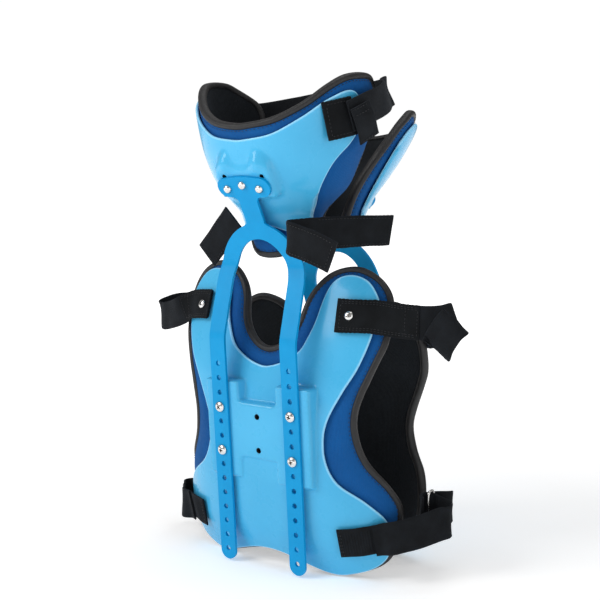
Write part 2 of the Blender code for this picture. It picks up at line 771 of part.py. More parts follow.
def shoulder_paths(back, front):
    """For each hand, the path and the width directions of its back length and of its front length."""
    up_back, up_front = up_torso(back, 97, SHOULDER_Z), up_torso(front, 100, FRONT_SHOULDER_Z)
    on_front = [on_torso(front, x, FRONT_SHOULDER_Z, STRAP_LIFT) for x in (112, 100, 84)]
    right_back = [on_torso(back, x, SHOULDER_Z, STRAP_LIFT) for x in (78, 96, 113)]
    right_back += [(140, -50, 261.5), (166, -47.5, 260.5), (184, -45, 262), (197, -45.5, 265.5)]
    right_back += [(201, -50, 265), (196, -54, 259), (187, -54, 246), (182, -50, 238)]
    right_turn = [up_back, up_back, up_back, UP, UP, (-0.15, 0, 0.98), (-0.4, 0, 0.9), (-0.56, 0, 0.83)]
    right_turn += [(-0.7, 0, 0.7), (-0.86, 0, 0.5), (-0.88, 0, 0.46)]
    right_front = [(177, -38, 243), (170, -16, 247), (160, 4, 247), (142, 24, 244), (128, 36, 240), *on_front]
    left_back = [on_torso(back, x, z, STRAP_LIFT) for x, z in ((80, 263), (97, 262), (113, 259))]
    left_back += [(131, -55, 252), (149, -50, 247), (161, -46, 245), (167, -40, 246.5)]
    left_front = [(163, -32, 251), (156, -20, 254), (142, 4, 252), (128, 30, 244), *on_front]
    lean = (0.1, 0, 1)
    return {
        "right": (1, right_back, right_turn, right_front, [UP, UP, UP, UP, UP, up_front]),
        "left": (-1, left_back, [up_back, up_back, up_back, lean, UP], left_front, [UP, UP, UP, UP, up_front]),
    }


def build_shoulder_straps(back, front, back_empty, front_empty):
    """Each strap leaves the back lobe, folds outside the shoulder and comes back to the front lobe."""
    for label, (hand, behind, back_turn, ahead, front_turn) in shoulder_paths(back, front).items():
        back_strap = ribbon(flipped(behind, hand), flipped(back_turn, hand))
        front_strap = ribbon(flipped(ahead, hand), flipped(front_turn, hand))
        to_object(f"shoulder_strap_back_{label}", back_strap, LOOKS["strap"], back_empty)
        to_object(f"shoulder_strap_front_{label}", front_strap, LOOKS["strap"], front_empty)
        build_strap_rivet(f"shoulder_rivet_back_{label}", back, hand, SHOULDER_Z, back_empty)
        build_strap_rivet(f"shoulder_rivet_front_{label}", front, hand, FRONT_SHOULDER_Z, front_empty)


def build_strap_rivet(name, torso, hand, z, empty):
    """The low domed head that fastens a shoulder strap to a lobe."""
    lift = STRAP_LIFT + STRAP_THICKNESS / 2 + 0.8
    place = on_torso(torso, 91, z, lift)
    outward = on_torso(torso, 91, z, lift + 10) - place
    place.x, outward.x = place.x * hand, outward.x * hand
    rivet = turned(((0, 0), (4.5, 0), (3.6, 1.4), (0, 2.2)), 8, axis_place(place, outward))
    to_object(name, rivet, LOOKS["metal"], empty)


def ring_mesh(centre, across, outward, width, height, bar):
    """A flat rectangular ring: its long way is `height` along Z, its short way is `width` along `across`."""
    across, outward = Vector(across).normalized(), Vector(outward).normalized()
    mesh = bmesh.new()
    corners = ((-1, -1), (1, -1), (1, 1), (-1, 1))

    def square(half_width, half_height, lift):
        middle = Vector(centre) + outward * lift
        sideways, upward = across * half_width, Vector(UP) * half_height
        return [mesh.verts.new(middle + sideways * a + upward * b) for a, b in corners]

    loops = [
        square(width / 2, height / 2, -bar / 2),
        square(width / 2, height / 2, bar / 2),
        square(width / 2 - bar, height / 2 - bar, bar / 2),
        square(width / 2 - bar, height / 2 - bar, -bar / 2),
    ]
    for low, high in zip(loops, loops[1:] + loops[:1]):
        for k in range(4):
            mesh.faces.new((low[k], low[(k + 1) % 4], high[(k + 1) % 4], high[k]))
    return mesh


def waist_paths(back, front, hand, heights):
    """The path and width directions of the strap on the back half and of the tab on the front half."""
    strap = [on_torso(back, x, z, STRAP_LIFT) for x, z in zip((84, 101, 118), heights["back"])]
    strap += [(x, y, z) for (x, y), z in zip(WAIST_LOOP, heights["loop"])]
    tab = [(x, y, z) for (x, y), z in zip(TAB_LOOP, heights["tab"])]
    tab += [on_torso(front, x, z, STRAP_LIFT + 0.6) for x, z in zip((118, 105, 92), heights["front"])]
    first, second = up_torso(back, 101, heights["back"][1]), up_torso(back, 118, heights["back"][2])
    strap_turn = [first, first, second, UP]
    tab_turn = [UP] * len(TAB_LOOP) + [up_torso(front, 118, heights["front"][0])]
    return flipped(strap, hand), flipped(strap_turn, hand), flipped(tab, hand), flipped(tab_turn, hand)


def build_waist_straps(back, front, back_empty, front_empty):
    """Each strap leaves the back half and turns back on itself beside the ring of the front half's tab.

    Both sides follow one path in plan. The right strap climbs toward its ring and the left one falls.
    """
    for hand, label in ((1, "right"), (-1, "left")):
        heights = WAIST_HEIGHTS[label]
        strap, strap_turn, tab, tab_turn = waist_paths(back, front, hand, heights)
        to_object(f"waist_strap_back_{label}", ribbon(strap, strap_turn, 33), LOOKS["strap"], back_empty)
        to_object(f"waist_tab_front_{label}", ribbon(tab, tab_turn), LOOKS["strap"], front_empty)
        ring = ring_mesh((148 * hand, 3, heights["tab"][0]), (0, 1, 0), (hand, 0, 0), 12, 38, 2.4)
        to_object(f"waist_ring_{label}", ring, LOOKS["metal"], front_empty)


def neck_strap_paths():
    right = [(99, 4, 343), (80, -36, 342.5), (66, -67, 341.5), (57, -87, 340.5), (50.5, -96, 339.5)]
    right += [(51, -102, 338.5), (60, -105, 336), (80, -104, 330), (101, -101, 321)]
    right_turn = [(0.3, 0, 0.95), (0.1, 0, 1), UP, UP, UP, (0.05, 0, 1), (0.2, 0, 1), (0.36, 0, 0.93)]
    left = [(-45, -65, 355), (-56, -63, 344), (-70, -61, 330), (-85, -60, 315)]
    return right, [*right_turn, (0.5, 0, 0.87)], left, [(0.75, 0, -0.66)]


def build_head_straps(cup, empty):
    """The two neck straps hang outside the cup's lower half. The forehead strap joins the two side lobes."""
    right, right_turn, left, left_turn = neck_strap_paths()
    to_object("neck_strap_right", ribbon(right, right_turn), LOOKS["strap"], empty)
    to_object("neck_strap_left", ribbon(left, left_turn), LOOKS["strap"], empty)
    outside = ((72, 452, 9), (84, 460, 9), (97, 466.5, 9), (108, 473, 10))
    path = [cup_point(cup, angle, z, -lift) for angle, z, lift in outside]
    path += [(91.5, 6, 477.5), (88.5, 13, 479.5), (81, 21, 480), (66, 32, 478.5), (40, 38, 476)]
    path += [(-12, 40, 470), (-50, 38, 465.5), (-74, 28, 461.5), (-86, 13, 459.5)]
    path += flipped([cup_point(cup, angle, z, -6) for angle, z in ((115, 458), (104, 456))], -1)
    turn = [(0, -0.3, 1)] * 3 + [(-0.1, -0.3, 1), (-0.3, -0.1, 0.95), (-0.42, 0, 0.91), UP]
    to_object("forehead_strap", ribbon(path, turn), LOOKS["strap"], empty)
    hanging = ((76, 463, 13), (80, 450, 15.5), (87, 434, 14.5))
    tail = [cup_point(cup, angle, z, -lift) for angle, z, lift in hanging]
    to_object("forehead_tail", ribbon(tail, [(0.3, 0.9, 0.25)], 24), LOOKS["strap"], empty)
    for hand, label, angles in ((1, "right", (57, 67, 77)), (-1, "left", (78, 88, 97))):
        patch = [cup_point(cup, angle, 446 + 3.5 * k, -4.6) for k, angle in enumerate(angles)]
        to_object(f"forehead_patch_{label}", ribbon(flipped(patch, hand), [UP], 36), LOOKS["strap"], empty)


def build():
    clear_scene()
    back, front = posterior_torso(), anterior_torso()
    back_upright, front_upright = posterior_upright(), anterior_upright()
    lower_screw = screw_places(BACK)[0][0]
    occipital_slide = slide_empty("occipital_height", lower_screw, slide_direction(BACK), None)
    front_slide = slide_empty("front_spacing", (0, 60, 100), (0, 1, 0), None)
    chin_slide = slide_empty("chin_height", screw_places(FRONT)[0][0], slide_direction(FRONT), front_slide)

    build_torso(back, None)
    build_torso(front, front_slide)
    build_screws(BACK, "posterior", None, HEAD_SCREW_LENGTH)
    build_screws(FRONT, "anterior", chin_slide, UPRIGHT_THICKNESS)
    build_upright(back_upright, "posterior", occipital_slide)
    build_upright(front_upright, "anterior", chin_slide)
    build_cup(occipital_cup(), back_upright, occipital_slide)
    build_cup(chin_cup(), front_upright, chin_slide)
    build_shoulder_straps(back, front, None, front_slide)
    build_waist_straps(back, front, None, front_slide)
    build_head_straps(occipital_cup(), occipital_slide)


build()
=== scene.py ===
"""Looks for the head, neck and chest brace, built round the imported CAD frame.

Shapes are worked out in millimetres in the same working frame as the CAD part, and written in metres. The back half
faces -Y and the front half +Y. Both come from one set of functions in a half frame (x, d, z), where d is the distance
outward from the middle plane between the halves.
"""

import math

import bmesh
import bpy
import numpy as np
from mathutils import Matrix, Vector
from mathutils.geometry import delaunay_2d_cdt


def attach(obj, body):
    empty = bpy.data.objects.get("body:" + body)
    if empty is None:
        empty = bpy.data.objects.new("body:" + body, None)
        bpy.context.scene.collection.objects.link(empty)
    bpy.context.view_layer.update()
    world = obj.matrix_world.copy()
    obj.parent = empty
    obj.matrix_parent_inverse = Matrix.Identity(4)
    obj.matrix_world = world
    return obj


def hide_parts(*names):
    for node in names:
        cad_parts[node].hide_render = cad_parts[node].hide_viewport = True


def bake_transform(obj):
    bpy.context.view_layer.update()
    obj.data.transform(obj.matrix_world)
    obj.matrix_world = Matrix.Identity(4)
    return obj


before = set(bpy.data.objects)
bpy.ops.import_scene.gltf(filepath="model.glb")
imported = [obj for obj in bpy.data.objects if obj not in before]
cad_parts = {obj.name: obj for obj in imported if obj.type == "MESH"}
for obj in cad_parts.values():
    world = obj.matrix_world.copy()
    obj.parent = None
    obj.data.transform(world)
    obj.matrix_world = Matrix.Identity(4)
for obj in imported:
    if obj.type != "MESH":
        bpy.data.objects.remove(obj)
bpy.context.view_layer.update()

MM = 0.001
BACK, FRONT = -1, 1
BASE_CENTRE = np.array((21.07, 5.79, 0.87))

SHELL_THICKNESS = 3.0
LINER_DEPTH = 4.6
LINER_THICKNESS = 7.0
SECTION_HALF_WIDTH = 150.0
SECTION_POWER = 2.6
ARCH_LIFT = 17.0

UPRIGHT_THICKNESS = 3.0
GAP = 0.3
HOLE_PITCH = 15.0
HOLES_PER_LEG = 14
HOLE_RADIUS = 2.7
LOWEST_HOLE = 12.0
LEG_X = 44.0
LEG_HALF_WIDTH = 9.5
LEG_LEAN = 0.075
LEG_AT_FLOOR = 76.9
STEM_HALF_WIDTH = 11.0
ARCH_OUTER_HEIGHT = 62.0
ARCH_INNER_HEIGHT = 46.0
SCREW_HOLES = (7, 10)
PAD_HOLES = (124.0, 158.5)
HEAD_END_X = 21.5
HEAD_RIVET_X = 19.3
HUMP_HEIGHT = 3.2
VENTS_X = (-21.5, 24.0)
VENT_Z = 395.0
VENT_RADIUS = 2.4

STRAP_LIFT = 3.4
FREE_PUFF = 1.8
SHOULDER_Z = 262.0
FRONT_SHOULDER_Z = 236.0
OVERLAY_LIFT = 2.3
HOOK_TAPE_LIFT = 1.2
STITCH_LIFT = 1.35

BINDING_SIDES = 16
BINDING_INSET = 1.6
BINDING_HALF_WIDTH = 3.5
BINDING_HALF_HEIGHT = 4.5
BINDING_SEAM_INSET = 5.6

SCREW = (5.3, 3.1)
STRAP_SCREW = (4.5, 2.4)
RIVET = (4.3, 2.8)
SHANK_RADIUS = 2.1
LONG_SHANK = 8.0
SHORT_SHANK = 2.4
STRAP_SHANK = 3.0
PAD_HOLE_RADIUS = 2.9
SCREW_BORE_RADIUS = 4.4

WORLD_LIGHT = 0.32
FLOOR_HALF_SIZE = 9000.0
CAMERA_AT = (671.9, -937.5, 384.7)
CAMERA_WAY = (-0.5848, 0.8049, -0.1005)
CAMERA_LENS = 66.66
SENSOR_WIDTH = 36.0
LIGHTS_AIM = (0, 0, 0.25)
SOFTBOXES = (
    ("key", (-1.1, -1.9, 1.5), (1.3, 1.3), 30),
    ("fill", (2.2, -0.9, 0.8), (1.2, 1.6), 9),
    ("top", (0.2, 0.3, 2.4), (1.6, 1.6), 14),
)


# ---------------------------------------------------------------- numbers

def rule(*points):
    """A smooth value(x) through each (x, value) point that never overshoots between two of them."""
    xs, ys = np.array(points, float).T
    slope = np.diff(ys) / np.diff(xs)
    tangent = np.zeros(len(xs))
    if len(slope) > 1:
        steady = slope[1:] * slope[:-1] > 0
        total = np.where(steady, slope[1:] + slope[:-1], 1.0)
        tangent[1:-1] = np.where(steady, 2 * slope[1:] * slope[:-1] / total, 0.0)
    tangent[0], tangent[-1] = slope[0], slope[-1]

    def value(x):
        x = np.asarray(x, float)
        i = np.clip(np.searchsorted(xs, x) - 1, 0, len(xs) - 2)
        step = xs[i + 1] - xs[i]
        t = np.clip((x - xs[i]) / step, 0, 1)
        return (
            (1 + 2 * t) * (1 - t) ** 2 * ys[i]
            + t * (1 - t) ** 2 * step * tangent[i]
            + t * t * (3 - 2 * t) * ys[i + 1]
            - t * t * (1 - t) * step * tangent[i + 1]
        )

    return value


def unit(vectors):
    vectors = np.asarray(vectors, float)
    return vectors / np.maximum(np.linalg.norm(vectors, axis=-1, keepdims=True), 1e-12)


def smoothstep(low, high, value):
    t = np.clip((value - low) / (high - low), 0, 1)
    return t * t * (3 - 2 * t)


def resampled(loop, spacing):
    """A closed loop of points about one spacing apart."""
    closed = np.vstack([loop, loop[:1]])
    lengths = np.concatenate([[0], np.cumsum(np.linalg.norm(np.diff(closed, axis=0), axis=1))])
    count = max(12, round(lengths[-1] / spacing))
    at = np.linspace(0, lengths[-1], count, endpoint=False)
    return np.stack([np.interp(at, lengths, closed[:, k]) for k in range(closed.shape[1])], axis=1)


def smoothed(loop, passes):
    for _ in range(passes):
        loop = (np.roll(loop, 1, 0) + 2 * loop + np.roll(loop, -1, 0)) / 4
    return loop


def inside(points, loop):
    """Whether each 2-D point is inside the closed loop."""
    x, y = points[:, :1], points[:, 1:]
    start, end = loop, np.roll(loop, -1, 0)
    rise = end[:, 1] - start[:, 1]
    rise = np.where(abs(rise) < 1e-12, 1e-12, rise)
    crosses = (start[:, 1] > y) != (end[:, 1] > y)
    at = start[:, 0] + (y - start[:, 1]) * (end[:, 0] - start[:, 0]) / rise
    return (crosses & (x < at)).sum(1) % 2 == 1


def distance_to(points, loop):
    """The distance from each point to the closed loop's nearest segment, in 2-D or 3-D."""
    start = loop
    along = np.roll(loop, -1, 0) - loop
    square = np.maximum((along**2).sum(1), 1e-12)
    found = np.empty(len(points))
    for k in range(0, len(points), 2000):
        offset = points[k : k + 2000, None, :] - start[None]
        share = np.clip((offset * along).sum(2) / square, 0, 1)
        found[k : k + 2000] = np.linalg.norm(offset - share[..., None] * along, axis=2).min(1)
    return found


# ---------------------------------------------------------------- surfaces

class Torso:
    """The outer face of one half shell, over (u, z), where u runs round the body from the middle."""

    def __init__(self, side, middle, bulge):
        self.side, self.middle, self.bulge = side, middle, bulge
        xs = np.linspace(0, 149.0, 600)
        fall = 1 - (1 - (xs / SECTION_HALF_WIDTH) ** SECTION_POWER) ** (1 / SECTION_POWER)
        steps = np.hypot(np.diff(xs), 90 * np.diff(fall))
        self.xs, self.arcs = xs, np.concatenate([[0], np.cumsum(steps)])

    def u_of(self, x):
        return np.sign(x) * np.interp(abs(x), self.xs, self.arcs)

    def x_of(self, u):
        return np.sign(u) * np.interp(abs(u), self.arcs, self.xs)

    def depth(self, x, z):
        share = np.minimum(abs(x) / SECTION_HALF_WIDTH, 0.999)
        fall = 1 - (1 - share**SECTION_POWER) ** (1 / SECTION_POWER)
        return self.middle(z) - self.bulge(z) * fall

    def half_frame(self, u, z):
        """Points (x, d, z) on the face and the outward directions there."""
        x = self.x_of(u)
        dx = self.depth(x + 0.5, z) - self.depth(x - 0.5, z)
        dz = self.depth(x, z + 0.5) - self.depth(x, z - 0.5)
        points = np.stack([x, self.depth(x, z), z], axis=1)
        return points, unit(np.stack([-dx, np.ones_like(dx), -dz], axis=1))


class Cup:
    """The outer face of a head support, over (angle times 1.4, z): part of an ellipse in plan."""

    SCALE = 1.4

    def __init__(self, side, centre, half_width, half_depth):
        self.side, self.centre, self.half_width, self.half_depth = side, centre, half_width, half_depth

    def on_face(self, a, z):
        return np.stack(
            [self.half_width(z) * np.sin(a), self.centre(z) + self.half_depth(z) * np.cos(a), z + 0 * a], axis=-1
        )

    def half_frame(self, u, z):
        a = np.radians(np.asarray(u, float) / self.SCALE)
        z = np.asarray(z, float)
        around = self.on_face(a + 0.01, z) - self.on_face(a - 0.01, z)
        upward = self.on_face(a, z + 1.0) - self.on_face(a, z - 1.0)
        return self.on_face(a, z), -unit(np.cross(around, upward))


def placed(surface, points):
    """Half-frame points as world points."""
    made = np.array(points, float)
    made[:, 1] *= surface.side
    return made


def on_surface(surface, uz, depth):
    """World points at (u, z), this far below the face, and the outward directions there."""
    points, outward = surface.half_frame(uz[:, 0], uz[:, 1])
    depth = np.broadcast_to(depth, len(points))[:, None]
    return placed(surface, points - outward * depth), placed(surface, outward)


# ---------------------------------------------------------------- outlines

def torso_outline(surface, edge, notch, span):
    """The outline of a shell or liner of the torso: arched foot, waist, shoulder lobes and neck notch."""
    low, notch_bottom, top = span
    foot_x = np.linspace(0, float(edge(low)), 40)
    foot = np.stack([foot_x, low + ARCH_LIFT * np.maximum(0, 1 - (foot_x / 75) ** 2) ** 2], axis=1)
    side_z = low + (top - low) * (1 - np.cos(np.linspace(0, math.pi, 160))) / 2
    side = np.stack([edge(side_z), side_z], axis=1)
    notch_z = top + (notch_bottom - top) * (1 - np.cos(np.linspace(0, math.pi, 140))) / 2
    neck = np.stack([notch(notch_z), notch_z], axis=1)
    right = np.vstack([foot[1:-1], side, neck[:-1]])
    left = right[::-1] * (-1, 1)
    loop = np.vstack([foot[:1], right, neck[-1:], left])
    loop = smoothed(resampled(loop, 1.0), 30)
    loop[:, 0] = surface.u_of(loop[:, 0])
    return resampled(loop, 2.0)


def cup_outline(rim, floor, reach):
    """The outline of a shell or liner of a head support, from its floor up one side, along its rim and down."""
    share = np.linspace(0, 1, 120)
    foot_a = np.linspace(0, float(reach(0)), 40)
    side_a = reach(share)
    side = np.stack([side_a, floor(side_a) + (rim(side_a) - floor(side_a)) * share], axis=1)
    rim_a = np.linspace(float(reach(1)), 0, 80)
    right = np.vstack([np.stack([foot_a[1:-1], floor(foot_a[1:-1])], axis=1), side])
    right = np.vstack([right, np.stack([rim_a[1:-1], rim(rim_a[1:-1])], axis=1)])
    left = right[::-1] * (-1, 1)
    loop = np.vstack([[(0, float(floor(0)))], right, [(0, float(rim(0)))], left]) * (Cup.SCALE, 1)
    return resampled(smoothed(resampled(loop, 1.0), 30), 2.0)


# ---------------------------------------------------------------- sheets of plastic and padding

def inset(surface, loop, distance):
    """The loop moved inward over the surface by a true distance."""
    along = unit(np.roll(loop, -1, 0) - np.roll(loop, 1, 0))
    inward = np.stack([-along[:, 1], along[:, 0]], axis=1)
    here, _ = on_surface(surface, loop, 0.0)
    there, _ = on_surface(surface, loop + inward, 0.0)
    stretch = np.maximum(np.linalg.norm(there - here, axis=1, keepdims=True), 0.3)
    return loop + inward * distance / stretch


def triangulated(surface, loop, rings, spacing, features):
    """(u, z) points and triangles over the outline: rings beside its edge, then an even grid inside."""
    edge3, _ = on_surface(surface, loop, 0.0)
    extra = []
    for distance in rings:
        ring = inset(surface, loop, distance)
        ring3, _ = on_surface(surface, ring, 0.0)
        clear = distance_to(ring3, edge3) > 0.9 * distance
        extra.append(ring[clear & inside(ring, loop)])
    low, high = loop.min(0), loop.max(0)
    us = np.arange(low[0], high[0], spacing)
    zs = np.arange(low[1], high[1], spacing * 0.87)
    grid = np.array([(u + spacing / 2 * (k % 2), z) for k, z in enumerate(zs) for u in us])
    grid = grid[inside(grid, loop)]
    grid3, _ = on_surface(surface, grid, 0.0)
    grid = grid[distance_to(grid3, edge3) > rings[-1] + 0.5 * spacing]
    for feature in features:
        grid = grid[distance_to(grid, feature) > 0.8]
    extra = np.vstack([*extra, grid, *features])
    count = len(loop)
    edges = [(k, (k + 1) % count) for k in range(count)]
    points = [Vector(p) for p in np.vstack([loop, extra])]
    found, _, faces, sources, _, _ = delaunay_2d_cdt(points, edges, [], 1, 1e-4)
    on_edge = np.array([any(k < count for k in source) for source in sources])
    return np.array([tuple(p) for p in found]), [tuple(f) for f in faces], on_edge


def sheet_solid(surface, loop, depth, half, width, rings, spacing, lift=None, features=()):
    """A closed sheet with a rounded edge: points, triangles, whether each triangle is on the outer side, and the
    distance of each point from the edge."""
    uz, faces, on_edge = triangulated(surface, loop, rings, spacing, features)
    edge3, _ = on_surface(surface, loop, depth)
    middle, outward = on_surface(surface, uz, depth)
    away = distance_to(middle, edge3)
    away[on_edge] = 0.0
    swell = half * np.sqrt(np.maximum(0, 1 - (1 - np.minimum(away / width, 1)) ** 2))[:, None]
    outer = middle + outward * swell
    if lift is not None:
        outer = outer + lift(surface, uz, away)
    inner = middle - outward * swell
    outer[on_edge] = middle[on_edge]
    twin = np.arange(len(uz))
    twin[~on_edge] = len(uz) + np.arange((~on_edge).sum())
    points = np.vstack([outer, inner[~on_edge]])
    far = np.concatenate([away, away[~on_edge]])
    triangles = faces + [tuple(int(twin[k]) for k in reversed(f)) for f in faces]
    front = np.zeros(len(triangles), bool)
    front[: len(faces)] = True
    if surface.side == FRONT:
        triangles = [tuple(reversed(t)) for t in triangles]
    return points, triangles, front, far


# ---------------------------------------------------------------- objects

def to_mesh(name, points, faces, looks, which=None, values=None):
    """A mesh object in metres from working points in millimetres."""
    data = bpy.data.meshes.new(name)
    metres = (np.asarray(points) - BASE_CENTRE) * MM
    data.from_pydata([tuple(p) for p in metres], [], [tuple(map(int, f)) for f in faces])
    for look in looks:
        data.materials.append(look)
    if which is not None:
        data.polygons.foreach_set("material_index", np.asarray(which, np.int32))
    for key, value in (values or {}).items():
        value = np.asarray(value, np.float32)
        kind = "FLOAT" if value.ndim == 1 else "FLOAT_VECTOR"
        attribute = data.attributes.new(key, kind, "POINT")
        attribute.data.foreach_set("value" if value.ndim == 1 else "vector", value.ravel())
    data.shade_smooth()
    data.update()
    made = bpy.data.objects.new(name, data)
    bpy.context.scene.collection.objects.link(made)
    return made


def baked(piece):
    """Applies the piece's modifiers to its mesh."""
    bpy.context.view_layer.update()
    made = bpy.data.meshes.new_from_object(piece.evaluated_get(bpy.context.evaluated_depsgraph_get()))
    piece.modifiers.clear()
    piece.data = made
    return piece


def cut_holes(piece, cutter):
    change = piece.modifiers.new("holes", "BOOLEAN")
    change.operation, change.solver, change.object = "DIFFERENCE", "EXACT", cutter
    # The cut walls take the cutter's material; every cutter here carries painted shade for its holes or recesses
    change.material_mode = "TRANSFER"
    baked(piece)
    bpy.data.objects.remove(cutter)
    return piece


def turned(profile, sides):
    """Points and faces of a solid of revolution about Z: (radius, height) pairs, both ends on the axis."""
    points, faces = [(0, 0, profile[0][1])], []
    angles = [2 * math.pi * k / sides for k in range(sides)]
    for radius, height in profile[1:-1]:
        points += [(radius * math.cos(a), radius * math.sin(a), height) for a in angles]
    points.append((0, 0, profile[-1][1]))
    last = len(points) - 1
    for k in range(sides):
        following = (k + 1) % sides
        faces.append((0, 1 + following, 1 + k))
        for ring in range(len(profile) - 3):
            base, above = 1 + ring * sides, 1 + (ring + 1) * sides
            faces.append((base + k, base + following, above + following, above + k))
        faces.append((last - sides + k, last - sides + following, last))
    return np.array(points, float), faces


def axis_place(point, axis):
    """A rotation and a point that put a piece's own Z along the axis."""
    turn = np.array(Vector(axis).to_track_quat("Z", "Y").to_matrix())
    return turn, np.array(point, float)


def moved(points, place):
    turn, at = place
    return points @ turn.T + at


def joined(parts):
    """Several (points, faces) as one."""
    points, faces, base = [], [], 0
    for some, these in parts:
        points.append(some)
        faces += [tuple(k + base for k in f) for f in these]
        base += len(some)
    return np.vstack(points), faces


def tube_faces(rings, sides, closed):
    """Quads between successive rings of points, and from the last ring to the first where the tube is closed."""
    count = rings if closed else rings - 1
    return [
        tuple(ring % rings * sides + step % sides for ring, step in ((i, k), (i, k + 1), (i + 1, k + 1), (i + 1, k)))
        for i in range(count)
        for k in range(sides)
    ]


def cylinders(places, radius, low, high, material, sides=32):
    profile = ((0, low), (radius, low), (radius, high), (0, high))
    points, faces = joined([(moved(turned(profile, sides)[0], place), turned(profile, sides)[1]) for place in places])
    return to_mesh("cutter", points, faces, [material])


def ride(piece, body, slot, *nodes):
    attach(piece, body)
    if nodes:
        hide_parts(*nodes)
    return piece


# ---------------------------------------------------------------- materials

class Look:
    """A node material built a few nodes at a time."""

    def __init__(self, name, **sockets):
        self.material = bpy.data.materials.new(name)
        self.material.use_nodes = True
        self.nodes = self.material.node_tree.nodes
        self.links = self.material.node_tree.links
        self.shader = self.nodes["Principled BSDF"]
        for key, value in sockets.items():
            self.shader.inputs[key.replace("_", " ")].default_value = value

    def node(self, kind, **settings):
        made = self.nodes.new(kind)
        for key, value in settings.items():
            if key.startswith("in_"):
                made.inputs[key[3:].replace("_", " ")].default_value = value
            else:
                setattr(made, key, value)
        return made

    def link(self, source, target):
        self.links.new(source, target)

    def place(self, scale=(1, 1, 1)):
        """Object coordinates in metres, stretched by scale."""
        coordinate = self.node("ShaderNodeTexCoord")
        mapping = self.node("ShaderNodeMapping", in_Scale=scale)
        self.link(coordinate.outputs["Object"], mapping.inputs["Vector"])
        return mapping.outputs["Vector"]

    def attribute(self, name):
        return self.node("ShaderNodeAttribute", attribute_name=name)

    def noise(self, vector, scale, detail=2.0, roughness=0.5):
        made = self.node("ShaderNodeTexNoise", in_Scale=scale, in_Detail=detail, in_Roughness=roughness)
        self.link(vector, made.inputs["Vector"])
        return made.outputs["Fac"]

    def ramp(self, value, *stops):
        """A colour or grey for each stop (position, colour)."""
        made = self.node("ShaderNodeValToRGB")
        elements = made.color_ramp.elements
        while len(elements) < len(stops):
            elements.new(0.5)
        for element, (position, colour) in zip(elements, stops):
            element.position = position
            element.color = (*colour, 1) if len(colour) == 3 else colour
        self.link(value, made.inputs["Fac"])
        return made.outputs["Color"]

    def range(self, value, low, high, to_low, to_high):
        made = self.node("ShaderNodeMapRange")
        for key, number in zip(("From Min", "From Max", "To Min", "To Max"), (low, high, to_low, to_high)):
            made.inputs[key].default_value = number
        self.link(value, made.inputs["Value"])
        return made.outputs["Result"]

    def math(self, kind, first, second):
        made = self.node("ShaderNodeMath", operation=kind)
        for k, value in enumerate((first, second)):
            if isinstance(value, (int, float)):
                made.inputs[k].default_value = value
            else:
                self.link(value, made.inputs[k])
        return made.outputs["Value"]

    def mix(self, factor, first, second):
        made = self.node("ShaderNodeMix", data_type="RGBA")
        for key, value in ((0, factor), (6, first), (7, second)):
            if isinstance(value, (int, float)):
                made.inputs[key].default_value = value
            elif isinstance(value, tuple):
                made.inputs[key].default_value = (*value, 1)
            else:
                self.link(value, made.inputs[key])
        return made.outputs[2]

    def bump(self, height, distance, strength=1.0, under=None):
        made = self.node("ShaderNodeBump", in_Strength=strength, in_Distance=distance)
        self.link(height, made.inputs["Height"])
        if under is not None:
            self.link(under, made.inputs["Normal"])
        return made.outputs["Normal"]

    def finish(self, colour=None, roughness=None, normal=None):
        for key, value in (("Base Color", colour), ("Roughness", roughness), ("Normal", normal)):
            if value is not None:
                self.link(value, self.shader.inputs[key])
        return self.material


def shell_look():
    """Glossy light-blue moulded plastic, with a faint ripple, and paler within about two millimetres of its rim."""
    look = Look("shell_plastic", Coat_Weight=0.3, Coat_Roughness=0.12, Specular_IOR_Level=0.2)
    here = look.place()
    cloud = look.ramp(look.noise(here, 14, 3), (0.35, (0.055, 0.42, 0.72)), (0.7, (0.070, 0.465, 0.78)))
    edge = look.range(look.attribute("edge").outputs["Fac"], 0.0006, 0.0022, 1.0, 0.0)
    colour = look.mix(edge, cloud, (0.30, 0.68, 0.95))
    rough = look.range(look.noise(here, 60, 4), 0.3, 0.7, 0.24, 0.34)
    fine = look.bump(look.noise(here, 900, 2), 0.00004, 0.35)
    return look.finish(colour, rough, look.bump(look.noise(here, 26, 1), 0.0009, 0.25, fine))


def paint_look():
    """Satin cyan-blue powder coat with a fine grain."""
    look = Look("upright_paint", Coat_Weight=0.05, Coat_Roughness=0.3, Specular_IOR_Level=0.15)
    here = look.place()
    colour = look.ramp(look.noise(here, 35, 4), (0.3, (0.0005, 0.28, 0.60)), (0.7, (0.0008, 0.315, 0.66)))
    rough = look.range(look.noise(here, 250, 3), 0.3, 0.7, 0.34, 0.46)
    return look.finish(colour, rough, look.bump(look.noise(here, 1600, 2), 0.00005, 0.5))


def knit_look(name, dark, pale, size, sheen, sheen_tint, rough=(0.8, 0.92)):
    """A fine knit: small round loops in rows, over a slow change of shade."""
    look = Look(name, Sheen_Weight=sheen, Sheen_Roughness=0.45, Sheen_Tint=(*sheen_tint, 1), Specular_IOR_Level=0.25)
    here = look.place()
    cells = look.node("ShaderNodeTexVoronoi", in_Scale=1 / size, in_Randomness=0.35)
    look.link(here, cells.inputs["Vector"])
    loops = cells.outputs["Distance"]
    shade = look.noise(here, 30, 4)
    both = look.math("ADD", look.math("MULTIPLY", shade, 0.7), look.range(loops, 0.0, 0.8, 0.35, 0.0))
    colour = look.ramp(both, (0.25, dark), (0.75, pale))
    roughness = look.range(look.noise(here, 400, 2), 0.3, 0.7, *rough)
    return look.finish(colour, roughness, look.bump(loops, -size * 0.35, 0.6))


